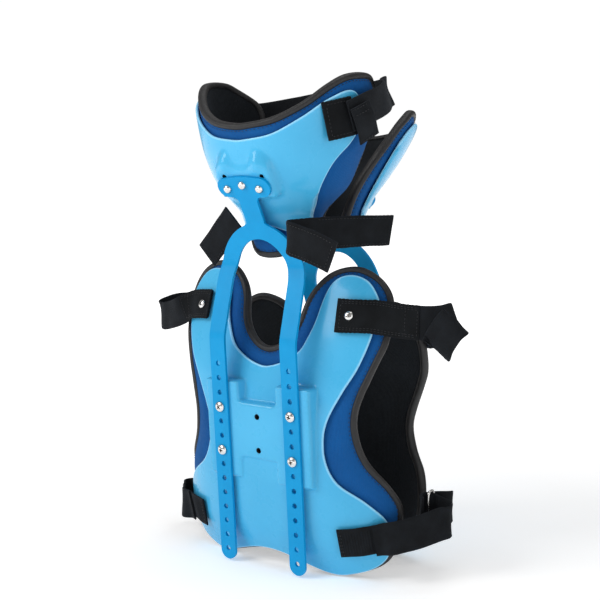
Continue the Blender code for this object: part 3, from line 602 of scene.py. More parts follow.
def binding_look():
    """Black edge binding with cross ribs and a soft shine."""
    look = Look("binding_tape", Sheen_Weight=0.03, Sheen_Roughness=0.35, Sheen_Tint=(0.8, 0.66, 0.64, 1))
    where = look.attribute("weave").outputs["Vector"]
    split = look.node("ShaderNodeSeparateXYZ")
    look.link(where, split.inputs["Vector"])
    ribs = look.math("SINE", look.math("MULTIPLY", split.outputs["X"], 2 * math.pi / 0.0011), 0.0)
    here = look.place()
    colour = look.ramp(look.noise(here, 90, 3), (0.3, (0.0035, 0.0035, 0.0045)), (0.75, (0.009, 0.0085, 0.0095)))
    rough = look.range(look.noise(here, 300, 2), 0.3, 0.7, 0.42, 0.55)
    return look.finish(colour, rough, look.bump(ribs, 0.00009, 0.6))


def webbing_look(name, dark, pale, rib, fuzz, sheen):
    """Woven tape: ribs across and warp lines along its own length, with fluff on top where it is hook and loop."""
    tint = (0.6, 0.7, 0.85, 1)
    look = Look(name, Sheen_Weight=sheen, Sheen_Roughness=0.5, Sheen_Tint=tint, Specular_IOR_Level=0.15)
    where = look.attribute("weave").outputs["Vector"]
    split = look.node("ShaderNodeSeparateXYZ")
    look.link(where, split.inputs["Vector"])
    along = look.math("SINE", look.math("MULTIPLY", split.outputs["X"], 2 * math.pi / rib), 0.0)
    across = look.math("SINE", look.math("MULTIPLY", split.outputs["Y"], 2 * math.pi / 0.0014), 0.0)
    weave = look.math("MULTIPLY", along, across)
    fluff = look.noise(where, 2600, 3, 0.7)
    height = look.math("ADD", look.math("MULTIPLY", weave, 1 - fuzz), look.math("MULTIPLY", fluff, 2 * fuzz))
    shade = look.math("ADD", look.noise(where, 60, 3), look.math("MULTIPLY", weave, 0.12))
    colour = look.ramp(shade, (0.3, dark), (0.8, pale))
    return look.finish(colour, look.range(fluff, 0.3, 0.7, 0.7, 0.9), look.bump(height, 0.00022, 0.7))


def metal_look(name, dark, pale):
    """Nickel plate with light scratches."""
    look = Look(name, Metallic=1.0)
    here = look.place((1, 1, 8))
    colour = look.ramp(look.noise(here, 300, 2), (0.3, dark), (0.7, pale))
    rough = look.range(look.noise(here, 700, 3), 0.3, 0.7, 0.14, 0.28)
    return look.finish(colour, rough, look.bump(look.noise(here, 900, 2), 0.00002, 0.4))


def thread_look():
    look = Look("black_thread", Sheen_Weight=0.1, Sheen_Roughness=0.4, Specular_IOR_Level=0.3)
    here = look.place()
    colour = look.ramp(look.noise(here, 500, 1), (0.3, (0.008, 0.009, 0.011)), (0.7, (0.02, 0.021, 0.025)))
    return look.finish(colour, look.range(look.noise(here, 900, 1), 0.3, 0.7, 0.5, 0.65))


SHELL = shell_look()
PAINT = paint_look()
FABRIC = knit_look("blue_fabric", (0.0005, 0.062, 0.225), (0.0008, 0.092, 0.315), 0.0011, 0.05, (0.25, 0.5, 0.9))
LINING = knit_look("black_lining", (0.003, 0.0045, 0.0065), (0.009, 0.0125, 0.0165), 0.0012, 0.08, (0.5, 0.6, 0.75))
BINDING = binding_look()
WEBBING = webbing_look("strap_webbing", (0.0035, 0.0042, 0.0055), (0.0085, 0.0105, 0.0135), 0.0016, 0.25, 0.05)
HOOKED = webbing_look("hook_tape", (0.002, 0.0025, 0.003), (0.006, 0.0072, 0.009), 0.0022, 0.8, 0.05)
METAL = metal_look("bright_nickel", (0.66, 0.65, 0.63), (0.82, 0.81, 0.79))
# Dark brown metal given to the walls of the screws' cross recesses: painted shade inside the recess
PAINTED_RECESS_SHADE = metal_look("recess_painted_shade", (0.10, 0.06, 0.035), (0.16, 0.10, 0.06))
THREAD = thread_look()


# ---------------------------------------------------------------- the brace's own shapes

POSTERIOR = Torso(
    BACK,
    rule((0, 57), (15, 63.6), (45, 74), (75, 77.5), (102, 79.5), (132, 80), (160, 79.5), (189, 76.5), (216, 73),
         (246, 67), (303, 49), (320, 44)),
    rule((110, 115), (125, 113), (180, 66), (195, 60)),
)
ANTERIOR = Torso(
    FRONT,
    rule((0, 57), (15, 63), (45, 72), (75, 75.5), (102, 77), (132, 77), (160, 75.5), (189, 71), (216, 64),
         (246, 55), (275, 46), (300, 40)),
    rule((110, 115), (125, 113), (180, 72), (195, 66)),
)
TORSO_SHAPES = {
    "posterior": (
        POSTERIOR,
        torso_outline(
            POSTERIOR,
            rule((2, 79), (5.5, 92), (10, 105), (17, 116), (26, 123), (42, 127), (60, 126), (82, 110), (102, 83),
                 (118, 74.5), (132, 71.7), (146, 72), (160, 75.6), (189, 90), (216, 105), (246, 114), (272, 117),
                 (290, 108), (298, 99), (301.5, 88)),
            rule((208, 0), (211, 13), (217, 27), (227, 41), (240, 48), (255, 54), (277, 58.5), (290, 63), (298, 70),
                 (301.5, 80)),
            (2.0, 208.0, 301.5),
        ),
        torso_outline(
            POSTERIOR,
            rule((0, 79), (4, 93), (9, 107), (16, 119), (26, 127), (42, 132), (72, 136), (94, 129), (120, 111),
                 (137, 104), (155, 101.5), (172, 103), (206, 115), (222, 121), (238, 127), (262, 129), (282, 125),
                 (297, 114), (305, 101), (309, 90)),
            rule((226, 0), (229, 11), (237, 22), (246, 29), (257, 34), (275, 38), (289, 45), (300, 56), (306, 67),
                 (309, 79)),
            (0.0, 226.0, 309.0),
        ),
    ),
    "anterior": (
        ANTERIOR,
        torso_outline(
            ANTERIOR,
            rule((2, 79), (5.5, 92), (10, 105), (17, 115), (26, 121), (42, 124), (60, 122), (82, 108), (102, 88),
                 (122, 80), (140, 78), (158, 82), (182, 96), (206, 108), (225, 112), (243, 109), (255, 101),
                 (261.5, 90)),
            rule((178, 0), (181, 13), (187, 27), (197, 40), (210, 48), (228, 55), (244, 62), (255, 70), (261.5, 82)),
            (2.0, 178.0, 261.5),
        ),
        torso_outline(
            ANTERIOR,
            rule((0, 79), (4, 93), (9, 107), (16, 118), (26, 125), (42, 129), (70, 131), (92, 123), (115, 104),
                 (137, 97), (155, 101), (180, 112), (205, 122), (225, 124), (245, 119), (258, 110), (266, 98),
                 (269, 90)),
            rule((192, 0), (195, 12), (202, 23), (212, 31), (225, 38), (243, 46), (257, 56), (265, 68), (269, 80)),
            (0.0, 192.0, 269.0),
        ),
    ),
}

HEAD_WIDTH = rule((300, 36), (333, 40), (358, 46), (370, 56), (386, 70), (405, 80), (425, 87), (460, 94), (495, 98))
OCCIPITAL = Cup(BACK, lambda z: 38.0 + 0 * z, HEAD_WIDTH, lambda z: 0.87 * HEAD_WIDTH(z))
CHIN = Cup(
    FRONT,
    rule((345, 3), (370, 10), (415, 34), (445, 52), (465, 58)),
    rule((345, 54), (370, 62), (395, 71), (420, 80), (445, 86), (465, 89)),
    rule((345, 54), (370, 60), (395, 76), (420, 83), (445, 84), (465, 80)),
)
CUP_SHAPES = {
    "occipital": (
        OCCIPITAL,
        cup_outline(
            rule((0, 429), (20, 433), (42, 449), (60, 467), (76, 476), (90, 470)),
            rule((0, 349), (20, 345.5), (38, 342), (55, 344), (76, 350)),
            rule((0, 76), (0.15, 70), (0.3, 64), (0.45, 68), (0.62, 82), (0.8, 89), (0.93, 88), (1, 80)),
        ),
        cup_outline(
            rule((0, 442), (20, 446), (42, 460), (60, 478), (76, 489), (95, 491.5), (112, 489)),
            rule((0, 316.5), (20, 317.5), (35, 321), (50, 327), (70, 335), (118, 345)),
            rule((0, 118), (0.25, 124), (0.45, 118), (0.58, 124), (0.72, 132), (0.86, 129), (0.95, 116), (1, 103)),
        ),
    ),
    "chin": (
        CHIN,
        cup_outline(
            rule((0, 425), (25, 428), (50, 443), (74, 452), (95, 446)),
            rule((0, 352), (90, 352)),
            rule((0, 78), (0.3, 84), (0.7, 88), (0.9, 84), (1, 72)),
        ),
        cup_outline(
            rule((0, 434), (25, 438), (50, 453), (74, 462), (95, 456)),
            rule((0, 345), (101, 345)),
            rule((0, 98), (0.3, 101), (0.7, 98), (0.9, 93), (1, 80)),
        ),
    ),
}


# ---------------------------------------------------------------- uprights

class Upright:
    """A bent flat strip. Its side view is (outward distance, height) corners, joined by short smooth bends."""

    BEND = 6.0

    def __init__(self, side, corners):
        self.side = side
        corners = np.array(corners, float)
        steps = np.diff(corners, axis=0)
        lengths = np.linalg.norm(steps, axis=1)
        self.ends = np.concatenate([[0], np.cumsum(lengths)])
        turns = np.arctan2(steps[:, 0], steps[:, 1])
        knots, values = [0.0], [turns[0]]
        for k, at in enumerate(self.ends[1:-1]):
            knots += [at - self.BEND, at + self.BEND]
            values += [turns[k], turns[k + 1]]
        self.knots, self.values = knots, values
        self.at = np.arange(0, self.ends[-1] + 1, 0.25)
        turn = np.interp(self.at, knots, values)
        self.d = corners[0, 0] + np.concatenate([[0], np.cumsum(np.sin(turn[1:]) * 0.25)])
        self.z = corners[0, 1] + np.concatenate([[0], np.cumsum(np.cos(turn[1:]) * 0.25)])

    @property
    def top(self):
        return self.ends[-1]

    def points(self, x, along, lift):
        """World points at (x, along) of the flat pattern, lifted off the strip's outer face."""
        turn = np.interp(along, self.knots, self.values)
        d = np.interp(along, self.at, self.d) + np.cos(turn) * lift
        z = np.interp(along, self.at, self.z) - np.sin(turn) * lift
        return np.stack([x + 0 * d, d * self.side, z], axis=-1)

    def head_plane(self, lift):
        """A half-frame point on the flat head's top edge, lifted off its outer face, its normal and its way up."""
        turn = self.values[-1]
        normal = np.array((0, math.cos(turn), -math.sin(turn)))
        upward = np.array((0, math.sin(turn), math.cos(turn)))
        point = np.array((0, np.interp(self.top, self.at, self.d), np.interp(self.top, self.at, self.z)))
        return point + normal * lift, normal, upward


def leg_depth(z):
    return LEG_AT_FLOOR + LEG_LEAN * z


UPRIGHTS = {
    "posterior": Upright(BACK, ((leg_depth(3), 3), (leg_depth(237), 237), (76, 311), (86.5, 350), (110.7, 394.6))),
    "anterior": Upright(FRONT, ((leg_depth(3), 3), (leg_depth(210), 210), (61, 292), (57, 335), (88, 379))),
}


def arc(cx, cy, rx, ry, start, end, steps):
    angles = [math.radians(start + (end - start) * k / steps) for k in range(steps + 1)]
    return [(cx + rx * math.cos(a), cy + ry * math.sin(a)) for a in angles]


def half_outline(upright):
    """The flat pattern's outline on X >= 0, from the middle of the flat head down to the arch."""
    _, _, arch, stem, top = upright.ends
    foot = arch - 22
    points = [(0, top), (10, top - 0.6)]
    points += arc(HEAD_END_X, top - 12, 10, 10, 75, -90, 16)
    points += arc(STEM_HALF_WIDTH + 7, top - 29, 7, 7, 90, 180, 10)
    points += [(STEM_HALF_WIDTH, stem)]
    points += arc(0, foot, LEG_X + LEG_HALF_WIDTH, ARCH_OUTER_HEIGHT, 74, 0, 28)
    points += arc(LEG_X, LEG_HALF_WIDTH, LEG_HALF_WIDTH, LEG_HALF_WIDTH, 0, -180, 24)
    points += arc(0, foot, LEG_X - LEG_HALF_WIDTH, ARCH_INNER_HEIGHT, 0, 90, 24)
    return points


def leg_holes():
    return [(x, LOWEST_HOLE + HOLE_PITCH * k) for x in (-LEG_X, LEG_X) for k in range(HOLES_PER_LEG)]


def head_rivets(upright):
    return ((-HEAD_RIVET_X, upright.top - 13), (0.0, upright.top - 9), (HEAD_RIVET_X, upright.top - 13))


def upright_piece(name, upright):
    """The strip cut from flat sheet with its round holes, bent, and with its sharp edges broken."""
    half = half_outline(upright)
    loops = [half + [(-x, y) for x, y in reversed(half) if x > 1e-6]]
    loops += [arc(x, y, HOLE_RADIUS, HOLE_RADIUS, 0, 345, 23) for x, y in leg_holes()]
    points, edges = [], []
    for loop in loops:
        base = len(points)
        points += [Vector(p) for p in loop]
        edges += [(base + k, base + (k + 1) % len(loop)) for k in range(len(loop))]
    flat, _, faces, _, _, _ = delaunay_2d_cdt(points, edges, [], 1, 1e-4)
    flat = np.array([tuple(p) for p in flat])
    middles = np.array([flat[list(f)].mean(0) for f in faces])
    solid = inside(middles, np.array(loops[0]))
    for x, y in leg_holes():
        solid &= np.hypot(middles[:, 0] - x, middles[:, 1] - y) > HOLE_RADIUS
    mesh = bmesh.new()
    verts = [mesh.verts.new((x, y, 0)) for x, y in flat]
    for f, keep in zip(faces, solid):
        if keep:
            mesh.faces.new([verts[k] for k in f])
    cuts = [e + d for e in upright.ends[1:-1] for d in np.arange(-6.5, 6.6, 1.3)]
    for at in cuts:
        everything = mesh.verts[:] + mesh.edges[:] + mesh.faces[:]
        bmesh.ops.bisect_plane(mesh, geom=everything, dist=1e-5, plane_co=(0, at, 0), plane_no=(0, 1, 0))
    raised = bmesh.ops.extrude_face_region(mesh, geom=mesh.faces[:])["geom"]
    back = {v for v in raised if isinstance(v, bmesh.types.BMVert)}
    for vert in mesh.verts:
        lift = -UPRIGHT_THICKNESS if vert in back else 0.0
        point = upright.points(vert.co.x, vert.co.y, lift)
        vert.co = Vector((point - BASE_CENTRE) * MM)
    bmesh.ops.recalc_face_normals(mesh, faces=mesh.faces)
    data = bpy.data.meshes.new(name)
    mesh.to_mesh(data)
    mesh.free()
    data.materials.append(PAINT)
    data.shade_smooth()
    made = bpy.data.objects.new(name, data)
    bpy.context.scene.collection.objects.link(made)
    bevel = made.modifiers.new("edge", "BEVEL")
    bevel.width, bevel.segments, bevel.limit_method = 0.0005, 2, "ANGLE"
    bevel.angle_limit = math.radians(50)
    weighted = made.modifiers.new("shade", "WEIGHTED_NORMAL")
    weighted.keep_sharp = True
    return baked(made)


# ---------------------------------------------------------------- raised pads and bosses of the shells

def h_outline():
    """The H pad's outline with rounded corners, in (x, z)."""
    half = [(0, 115), (22, 115), (22, 93), (64, 93), (64, 192), (22, 192), (22, 172), (0, 172)]
    loop = np.array(half + [(-x, z) for x, z in reversed(half[1:-1])], float)
    return smoothed(resampled(loop, 1.0), 8)


H_LOOP = h_outline()


def pad_lift(surface, uz, away):
    """Raises the H-shaped seat of the two legs to a plane just under them."""
    points, outward = surface.half_frame(uz[:, 0], uz[:, 1])
    face = leg_depth(points[:, 2]) - UPRIGHT_THICKNESS - GAP - 0.02
    height = (face - points[:, 1]) / (outward[:, 1] - LEG_LEAN * outward[:, 2])
    xz = points[:, [0, 2]]
    signed = distance_to(xz, H_LOOP) * np.where(inside(xz, H_LOOP), 1, -1)
    share = smoothstep(-1.6, 2.2, signed)
    return placed(surface, outward * (height * share)[:, None])


def boss_lift(upright, top_middle, top_lobe):
    """Raises the boss under the upright's flat head, with a rounded hump above each end of the head."""

    def lift(surface, uz, away):
        points, outward = surface.half_frame(uz[:, 0], uz[:, 1])
        centre, normal, upward = upright.head_plane(-UPRIGHT_THICKNESS - GAP - 0.02)
        height = np.maximum(0, (centre - points) @ normal / (outward @ normal))
        full = points + outward * height[:, None]
        across = abs(full[:, 0])
        along = (full - centre) @ upward
        lobes = rule((0, top_middle), (8, top_middle + 1.5), (19, top_lobe), (29, top_lobe - 5), (38, top_lobe - 24))
        start = centre[2] + 1
        over = np.clip((points[:, 2] - start) / (lobes(abs(points[:, 0])) - start), 0, 1)
        share = (1 - over**2.2) ** 1.5 * smoothstep(40, 31, across) * smoothstep(-31, -23, along)
        swell = HUMP_HEIGHT * np.exp(-(((across - 19) / 8) ** 2) - ((points[:, 2] - start - 11) / 9) ** 2)
        swell = swell * smoothstep(0, 5, along)
        return placed(surface, outward * (height * share + swell)[:, None])

    return lift


def screw_places(side):
    """Where each leg is screwed down: a point on the legs' outer face and the way out of it."""
    direction = unit((0, side, -LEG_LEAN))
    climb = unit((0, side * LEG_LEAN, 1))
    return [
        (np.array((x, side * leg_depth(3), 3)) + climb * (LOWEST_HOLE + HOLE_PITCH * hole), direction)
        for x in (-LEG_X, LEG_X)
        for hole in SCREW_HOLES
    ]


WAIST_LOOP = (
    (134, -43), (150, -24), (163, -8), (168.5, -2), (166, 3), (158, 4), (151, 3), (147.8, 1.8), (144.4, -0.6),
    (144.2, -6), (147.5, -10),
)
TAB_LOOP = (
    (153, 5.6), (148, 5.4), (144.4, 7.4), (144.6, 11), (148.5, 13), (153, 14.5), (157.5, 17.5), (160, 22), (157, 28),
    (148, 37), (136, 45),
)
WAIST_HEIGHTS = {
    "right": {
        "back": (41.5, 44, 47.5),
        "loop": (50, 54.5, 60, 62, 64, 66, 68, 69.5, 70, 70, 69),
        "tab": (70, 70, 70, 70, 70.5, 71, 71, 70.5, 68, 61, 54),
        "front": (50, 46, 42),
    },
    "left": {
        "back": (43, 43, 42),
        "loop": (40, 37, 34.5, 34.5, 35, 36, 37, 38, 38, 38, 38),
        "tab": (38, 38, 38, 38, 38, 38, 38, 38, 38, 39, 40),
        "front": (41, 42, 42),
    },
}


# ---------------------------------------------------------------- pieces

def shell_piece(name, surface, loop, lift, features, cutters):
    points, faces, _, away = sheet_solid(
        surface, loop, SHELL_THICKNESS / 2, 1.5, 1.5, (0.2, 0.55, 1.0, 1.6, 3.2), 3.2, lift, features
    )
    piece = to_mesh(name, points, faces, [SHELL], values={"edge": away * MM})
    for cutter in cutters:
        cut_holes(piece, cutter)
    return piece


def ripple(points):
    """A slow uneven swell, as laid foam has."""
    x, y, z = points.T
    return 0.35 * np.sin(x / 17 + z / 29) * np.sin(z / 23 - y / 31) + 0.2 * np.sin(x / 9 - z / 13 + 1.7)


def liner_lift(shell_loop):
    """Padding that stands up where no shell holds it down, and dips beside the binding."""

    def lift(surface, uz, away):
        points, outward = on_surface(surface, uz, LINER_DEPTH)
        shell3, _ = on_surface(surface, shell_loop, LINER_DEPTH)
        clear = np.where(inside(uz, shell_loop), 0.0, distance_to(points, shell3))
        puff = FREE_PUFF * smoothstep(0.5, 9, clear) * smoothstep(4, 15, away)
        swell = (0.3 + 0.4 * ripple(points)) * smoothstep(2, 14, away)
        return outward * (swell + puff * (1 + 0.6 * ripple(points)))[:, None]

    return lift


def liner_piece(name, surface, loop, shell_loop):
    points, faces, front, _ = sheet_solid(
        surface, loop, LINER_DEPTH + LINER_THICKNESS / 2, LINER_THICKNESS / 2, 9.0,
        (0.8, 1.8, 3.2, 5.0, 7.2, 9.6), 4.5, liner_lift(shell_loop),
    )
    return to_mesh(name, points, faces, [FABRIC, LINING], which=np.where(front, 0, 1))


def binding_piece(name, surface, loop):
    """The bound edge: a soft tube of folded tape round the whole rim of a liner."""
    loop = resampled(loop, 2.4)
    centre, outward = on_surface(surface, inset(surface, loop, BINDING_INSET), LINER_DEPTH + LINER_THICKNESS / 2)
    centre = smoothed(centre, 2)
    along = unit(np.roll(centre, -1, 0) - np.roll(centre, 1, 0))
    outward = unit(outward - (outward * along).sum(1, keepdims=True) * along)
    beside = np.cross(along, outward)
    steps = np.linalg.norm(np.roll(centre, -1, 0) - centre, axis=1)
    travelled = np.concatenate([[0], np.cumsum(steps)[:-1]])
    sides = BINDING_SIDES
    points, weave = [], []
    for k in range(sides):
        turn = 2 * math.pi * k / sides
        flat = np.sign(math.cos(turn)) * abs(math.cos(turn)) ** 0.8
        tall = np.sign(math.sin(turn)) * abs(math.sin(turn)) ** 0.8
        wobble = 1 + 0.03 * np.sin(travelled / 7 + k)
        reach = beside * flat * BINDING_HALF_WIDTH + outward * tall * BINDING_HALF_HEIGHT
        points.append(centre + reach * wobble[:, None])
        weave.append(np.stack([travelled, 0 * travelled + turn * 4, 0 * travelled], axis=1) * MM)
    points = np.stack(points, axis=1).reshape(-1, 3)
    weave = np.stack(weave, axis=1).reshape(-1, 3)
    faces = tube_faces(len(centre), sides, True)
    if surface.side == FRONT:
        faces = [tuple(reversed(f)) for f in faces]
    return to_mesh(name, points, faces, [BINDING], values={"weave": weave})


def phillips(radius, height, shank):
    """A pan-head screw with a cross recess, its head from 0 up."""
    rise = height / 3.1
    profile = [(0, -shank), (SHANK_RADIUS, -shank), (SHANK_RADIUS, 0)]
    profile += [(radius * 0.97, 0), (radius, 0.35 * rise), (radius, 0.8 * rise)]
    profile += [(radius * 0.96, 1.35 * rise), (radius * 0.82, 2.0 * rise), (radius * 0.6, 2.6 * rise)]
    profile += [(radius * 0.3, 3.0 * rise), (0, height)]
    points, faces = turned(profile, 40)
    body = to_mesh("screw", points, faces, [METAL])
    wide, slot = radius * 0.52, radius * 0.13
    plus = [(slot, slot), (wide, slot), (wide, -slot), (slot, -slot), (slot, -wide), (-slot, -wide), (-slot, -slot)]
    plus += [(-wide, -slot), (-wide, slot), (-slot, slot), (-slot, wide), (slot, wide)]
    tall = [(x, y, height + 0.5) for x, y in plus] + [(x * 0.45, y * 0.45, height - 2.0 * rise) for x, y in plus]
    count = len(plus)
    sides = [(k, (k + 1) % count, count + (k + 1) % count, count + k) for k in range(count)]
    ends = [tuple(range(count - 1, -1, -1)), tuple(range(count, 2 * count))]
    # The recess walls take the cutter's dark material, which is painted shade in the cross recess
    cutter = to_mesh("cross", np.array(tall), [*ends, *sides], [PAINTED_RECESS_SHADE])
    cut_holes(body, cutter)
    return body


def rivet_head(radius, height):
    profile = [(0, -1), (radius, -1), (radius, 0.3), (radius * 0.93, height * 0.55), (radius * 0.72, height * 0.85)]
    profile += [(radius * 0.4, height), (radius * 0.3, height), (radius * 0.2, height - 0.35), (0, height - 0.45)]
    points, faces = turned(profile, 32)
    return to_mesh("rivet", points, faces, [METAL])


def copy_at(pattern, name, point, axis, spin=0.0):
    """A copy of a small turned part, standing on the point along the axis."""
    made = pattern.copy()
    made.data = pattern.data.copy()
    made.name = name
    bpy.context.scene.collection.objects.link(made)
    turn = Vector(axis).to_track_quat("Z", "Y").to_matrix().to_4x4() @ Matrix.Rotation(spin, 4, "Z")
    at = Matrix.Translation(Vector((np.array(point) - BASE_CENTRE) * MM))
    made.data.transform(at @ turn @ Matrix.Translation(Vector(BASE_CENTRE * MM)))
    for polygon in made.data.polygons:
        polygon.use_smooth = True
    made.data.set_sharp_from_angle(angle=math.radians(38))
    return made


# ---------------------------------------------------------------- straps

def curve_through(controls, spacing):
    points = np.array(controls, float)
    padded = np.vstack([2 * points[0] - points[1], points, 2 * points[-1] - points[-2]])
    made = []
    for before, start, end, after in zip(padded, padded[1:], padded[2:], padded[3:]):
        steps = max(2, round(np.linalg.norm(end - start) / spacing))
        for k in range(steps):
            t = k / steps
            made.append(
                0.5
                * (
                    2 * start
                    + (end - before) * t
                    + (2 * before - 5 * start + 4 * end - after) * t * t
                    + (3 * start - before - 3 * end + after) * t**3
                )
            )
    return np.array(made + [points[-1]])


def ribbon_frames(controls, widths, spacing=2.0):
    """Centre points, across directions, face directions and distances along a strap."""
    widths = [widths[min(k, len(widths) - 1)] for k in range(len(controls))]
    both = curve_through(np.hstack([np.array(controls, float), np.array(widths, float) * 20]), spacing)
    centre, wide = both[:, :3], both[:, 3:]
    along = unit(np.gradient(centre, axis=0))
    wide = unit(wide - (wide * along).sum(1, keepdims=True) * along)
    travelled = np.concatenate([[0], np.cumsum(np.linalg.norm(np.diff(centre, axis=0), axis=1))])
    return centre, wide, unit(np.cross(along, wide)), travelled


def strap_wave(travelled, across):
    """The slight unevenness of a soft strap, off its plain surface."""
    return 0.35 * np.sin(travelled / 9.0 + 1.3 * across) + 0.22 * np.sin(travelled / 4.1 - 2.0 * across)


def ribbon(name, strap, look, span=(0.0, 1.0), lift=0.0, width=None, thickness=2.2, ribs=0.0, fray=0.0):
    """A length of a strap, with rounded edges.

    strap is (controls, width directions, width). span is the part of its length. lift stands it off the strap's own
    middle surface, ribs is the height of woven cross ribs, and fray is the raggedness of its edges.
    """
    controls, widths, full_width = strap
    centre, wide, face, travelled = ribbon_frames(controls, widths, 0.65 if ribs else 2.0)
    keep = (travelled >= span[0] * travelled[-1]) & (travelled <= span[1] * travelled[-1] + 1e-6)
    centre, wide, face, travelled = centre[keep], wide[keep], face[keep], travelled[keep]
    half, thick = (width or full_width) / 2, thickness / 2
    across = [-1, -0.985, -0.94, -0.8, -0.5, 0, 0.5, 0.8, 0.94, 0.985, 1]
    section = [(a, 1) for a in across] + [(a, -1) for a in reversed(across)]
    points, weave = [], []
    for a, side in section:
        edge = abs(a)
        rise = thick * math.sqrt(max(0.0, 1 - max(0.0, (edge - 0.9) / 0.1) ** 2.5)) if edge < 1 else thick * 0.25
        height = lift + rise * side + strap_wave(travelled, a)
        if ribs:
            height = height + side * ribs * np.sin(travelled * 2 * math.pi / 2.6) * (edge < 0.9)
        ragged = fray * np.sin(travelled * 2.3 + a) * np.sin(travelled * 0.9 + 3 * a) * (edge > 0.9)
        points.append(centre + wide * (a * half + ragged * np.sign(a))[:, None] + face * height[:, None])
        weave.append(np.stack([travelled, 0 * travelled + a * half, 0 * travelled + side], axis=1) * MM)
    rings, sides = len(centre), len(section)
    points = np.stack(points, axis=1).reshape(-1, 3)
    weave = np.stack(weave, axis=1).reshape(-1, 3)
    faces = tube_faces(rings, sides, False)
    faces += [tuple(range(sides - 1, -1, -1)), tuple(range((rings - 1) * sides, rings * sides))]
    piece = to_mesh(name, points, faces, [look], values={"weave": weave})
    piece.data.set_sharp_from_angle(angle=math.radians(60))
    return piece


def stitches(name, lines, length=2.2, gap=1.3, thick=0.32):
    """Short raised threads along several lines, each a list of world points."""
    parts = []
    for line in lines:
        line = np.array(line, float)
        lengths = np.concatenate([[0], np.cumsum(np.linalg.norm(np.diff(line, axis=0), axis=1))])
        starts = np.arange(0.5, lengths[-1] - length, length + gap)
        for start in starts:
            ends = [np.array([np.interp(s, lengths, line[:, k]) for k in range(3)]) for s in (start, start + length)]
            turn, at = axis_place(ends[0], ends[1] - ends[0])
            reach = np.linalg.norm(ends[1] - ends[0])
            profile = [(0, 0), (thick, 0.25 * reach), (thick, 0.75 * reach), (0, reach)]
            points, faces = turned(profile, 6)
            parts.append((moved(points, (turn, at)), faces))
    points, faces = joined(parts)
    return to_mesh(name, points, faces, [THREAD])


def sew(name, lines, body):
    """Stitches along the lines, riding on the body."""
    ride(stitches(name, lines), body, "strap_webbing")


def strap_lines(strap, spots, lift):
    """Lines on the face of a strap: each spot is (share across, first share along, last share along)."""
    controls, widths, width = strap
    centre, wide, face, travelled = ribbon_frames(controls, widths)
    lines = []
    for across, first, last in spots:
        keep = (travelled >= first * travelled[-1]) & (travelled <= last * travelled[-1])
        height = lift + strap_wave(travelled, across)
        lines.append((centre + wide * across * width / 2 + face * height[:, None])[keep])
    return lines


def cross_lines(strap, places, lift, reach=0.82):
    """Lines across the face of a strap, at these shares of its length."""
    controls, widths, width = strap
    centre, wide, face, travelled = ribbon_frames(controls, widths)
    lines = []
    for place in places:
        k = int(np.argmin(abs(travelled - place * travelled[-1])))
        across = np.linspace(-reach, reach, 9)
        height = lift + strap_wave(travelled[k], across)
        lines.append(centre[k] + wide[k] * (across * width / 2)[:, None] + face[k] * height[:, None])
    return lines


def on_torso(surface, x, z, lift):
    points, _ = on_surface(surface, np.array([[float(surface.u_of(x)), float(z)]]), -lift)
    return points[0]


def on_cup(surface, angle, z, lift):
    points, _ = on_surface(surface, np.array([[angle * Cup.SCALE, float(z)]]), -lift)
    return points[0]


def up_torso(surface, x, z):
    return unit(on_torso(surface, x, z + 5, 0) - on_torso(surface, x, z - 5, 0))


def flipped(points, hand):
    return [np.array((p[0] * hand, p[1], p[2])) for p in points]


UP = (0, 0, 1)


# ---------------------------------------------------------------- assembly

def build_liner(name, body, surface, shell_loop, loop):
    """The pad, its bound edge and the seam that holds the binding, along its inner edge on the outside."""
    liner = liner_piece(f"{name}_liner_pad", surface, loop, shell_loop)
    ride(liner, body, "padded_liner", f"{name}_liner")
    ride(binding_piece(f"{name}_liner_binding", surface, loop), body, "strap_webbing")
    seam = inset(surface, resampled(loop, 2.0), BINDING_SEAM_INSET)
    line, _ = on_surface(surface, seam, LINER_DEPTH - 0.9)
    ride(stitches(f"{name}_binding_seam", [smoothed(line, 3)], 2.6, 1.8, 0.3), body, "strap_webbing")


def build_torso(name, body):
    surface, shell_loop, liner_loop = TORSO_SHAPES[name]
    x_scale = [np.stack([surface.u_of(ring[:, 0]), ring[:, 1]], axis=1) for ring in (
        H_LOOP,
        inset_flat(H_LOOP, 0.9),
        inset_flat(H_LOOP, 2.2),
        inset_flat(H_LOOP, -0.8),
        inset_flat(H_LOOP, -1.6),
    )]
    holes = [axis_place((0, surface.side * leg_depth(z), z), (0, surface.side, 0)) for z in PAD_HOLES]
    bores = [axis_place(point, way) for point, way in screw_places(surface.side)]
    # The pad holes' and screw bores' cut walls take the black lining material: painted shade inside the holes
    cutters = [
        cylinders(holes, PAD_HOLE_RADIUS, -20, 5, LINING),
        cylinders(bores, SCREW_BORE_RADIUS, -30, 5, LINING),
    ]
    shell = shell_piece(f"{name}_shell_moulding", surface, shell_loop, pad_lift, x_scale, cutters)
    ride(shell, body, "moulded_shell", f"{name}_shell")
    build_liner(name, body, surface, shell_loop, liner_loop)


def inset_flat(loop, distance):
    along = unit(np.roll(loop, -1, 0) - np.roll(loop, 1, 0))
    return loop + np.stack([-along[:, 1], along[:, 0]], axis=1) * distance


def build_cup(name, body, upright, lobes):
    surface, shell_loop, liner_loop = CUP_SHAPES[name]
    centre, _, _ = upright.head_plane(0.0)
    vents = [axis_place((x, surface.side * centre[1], VENT_Z), (0, surface.side, 0)) for x in VENTS_X]
    # The vents' cut walls take the black lining material: painted shade inside the vents
    cutters = [cylinders(vents, VENT_RADIUS, -30, 12, LINING)]
    shell = shell_piece(f"{name}_shell_moulding", surface, shell_loop, boss_lift(upright, *lobes), [], cutters)
    ride(shell, body, "moulded_shell", f"{name}_shell")
    build_liner(name, body, surface, shell_loop, liner_loop)


def build_uprights():
    for name, body in (("posterior", "occipital_unit"), ("anterior", "chin_unit")):
        piece = upright_piece(f"{name}_upright_strip", UPRIGHTS[name])
        ride(piece, body, "painted_upright", f"{name}_upright")


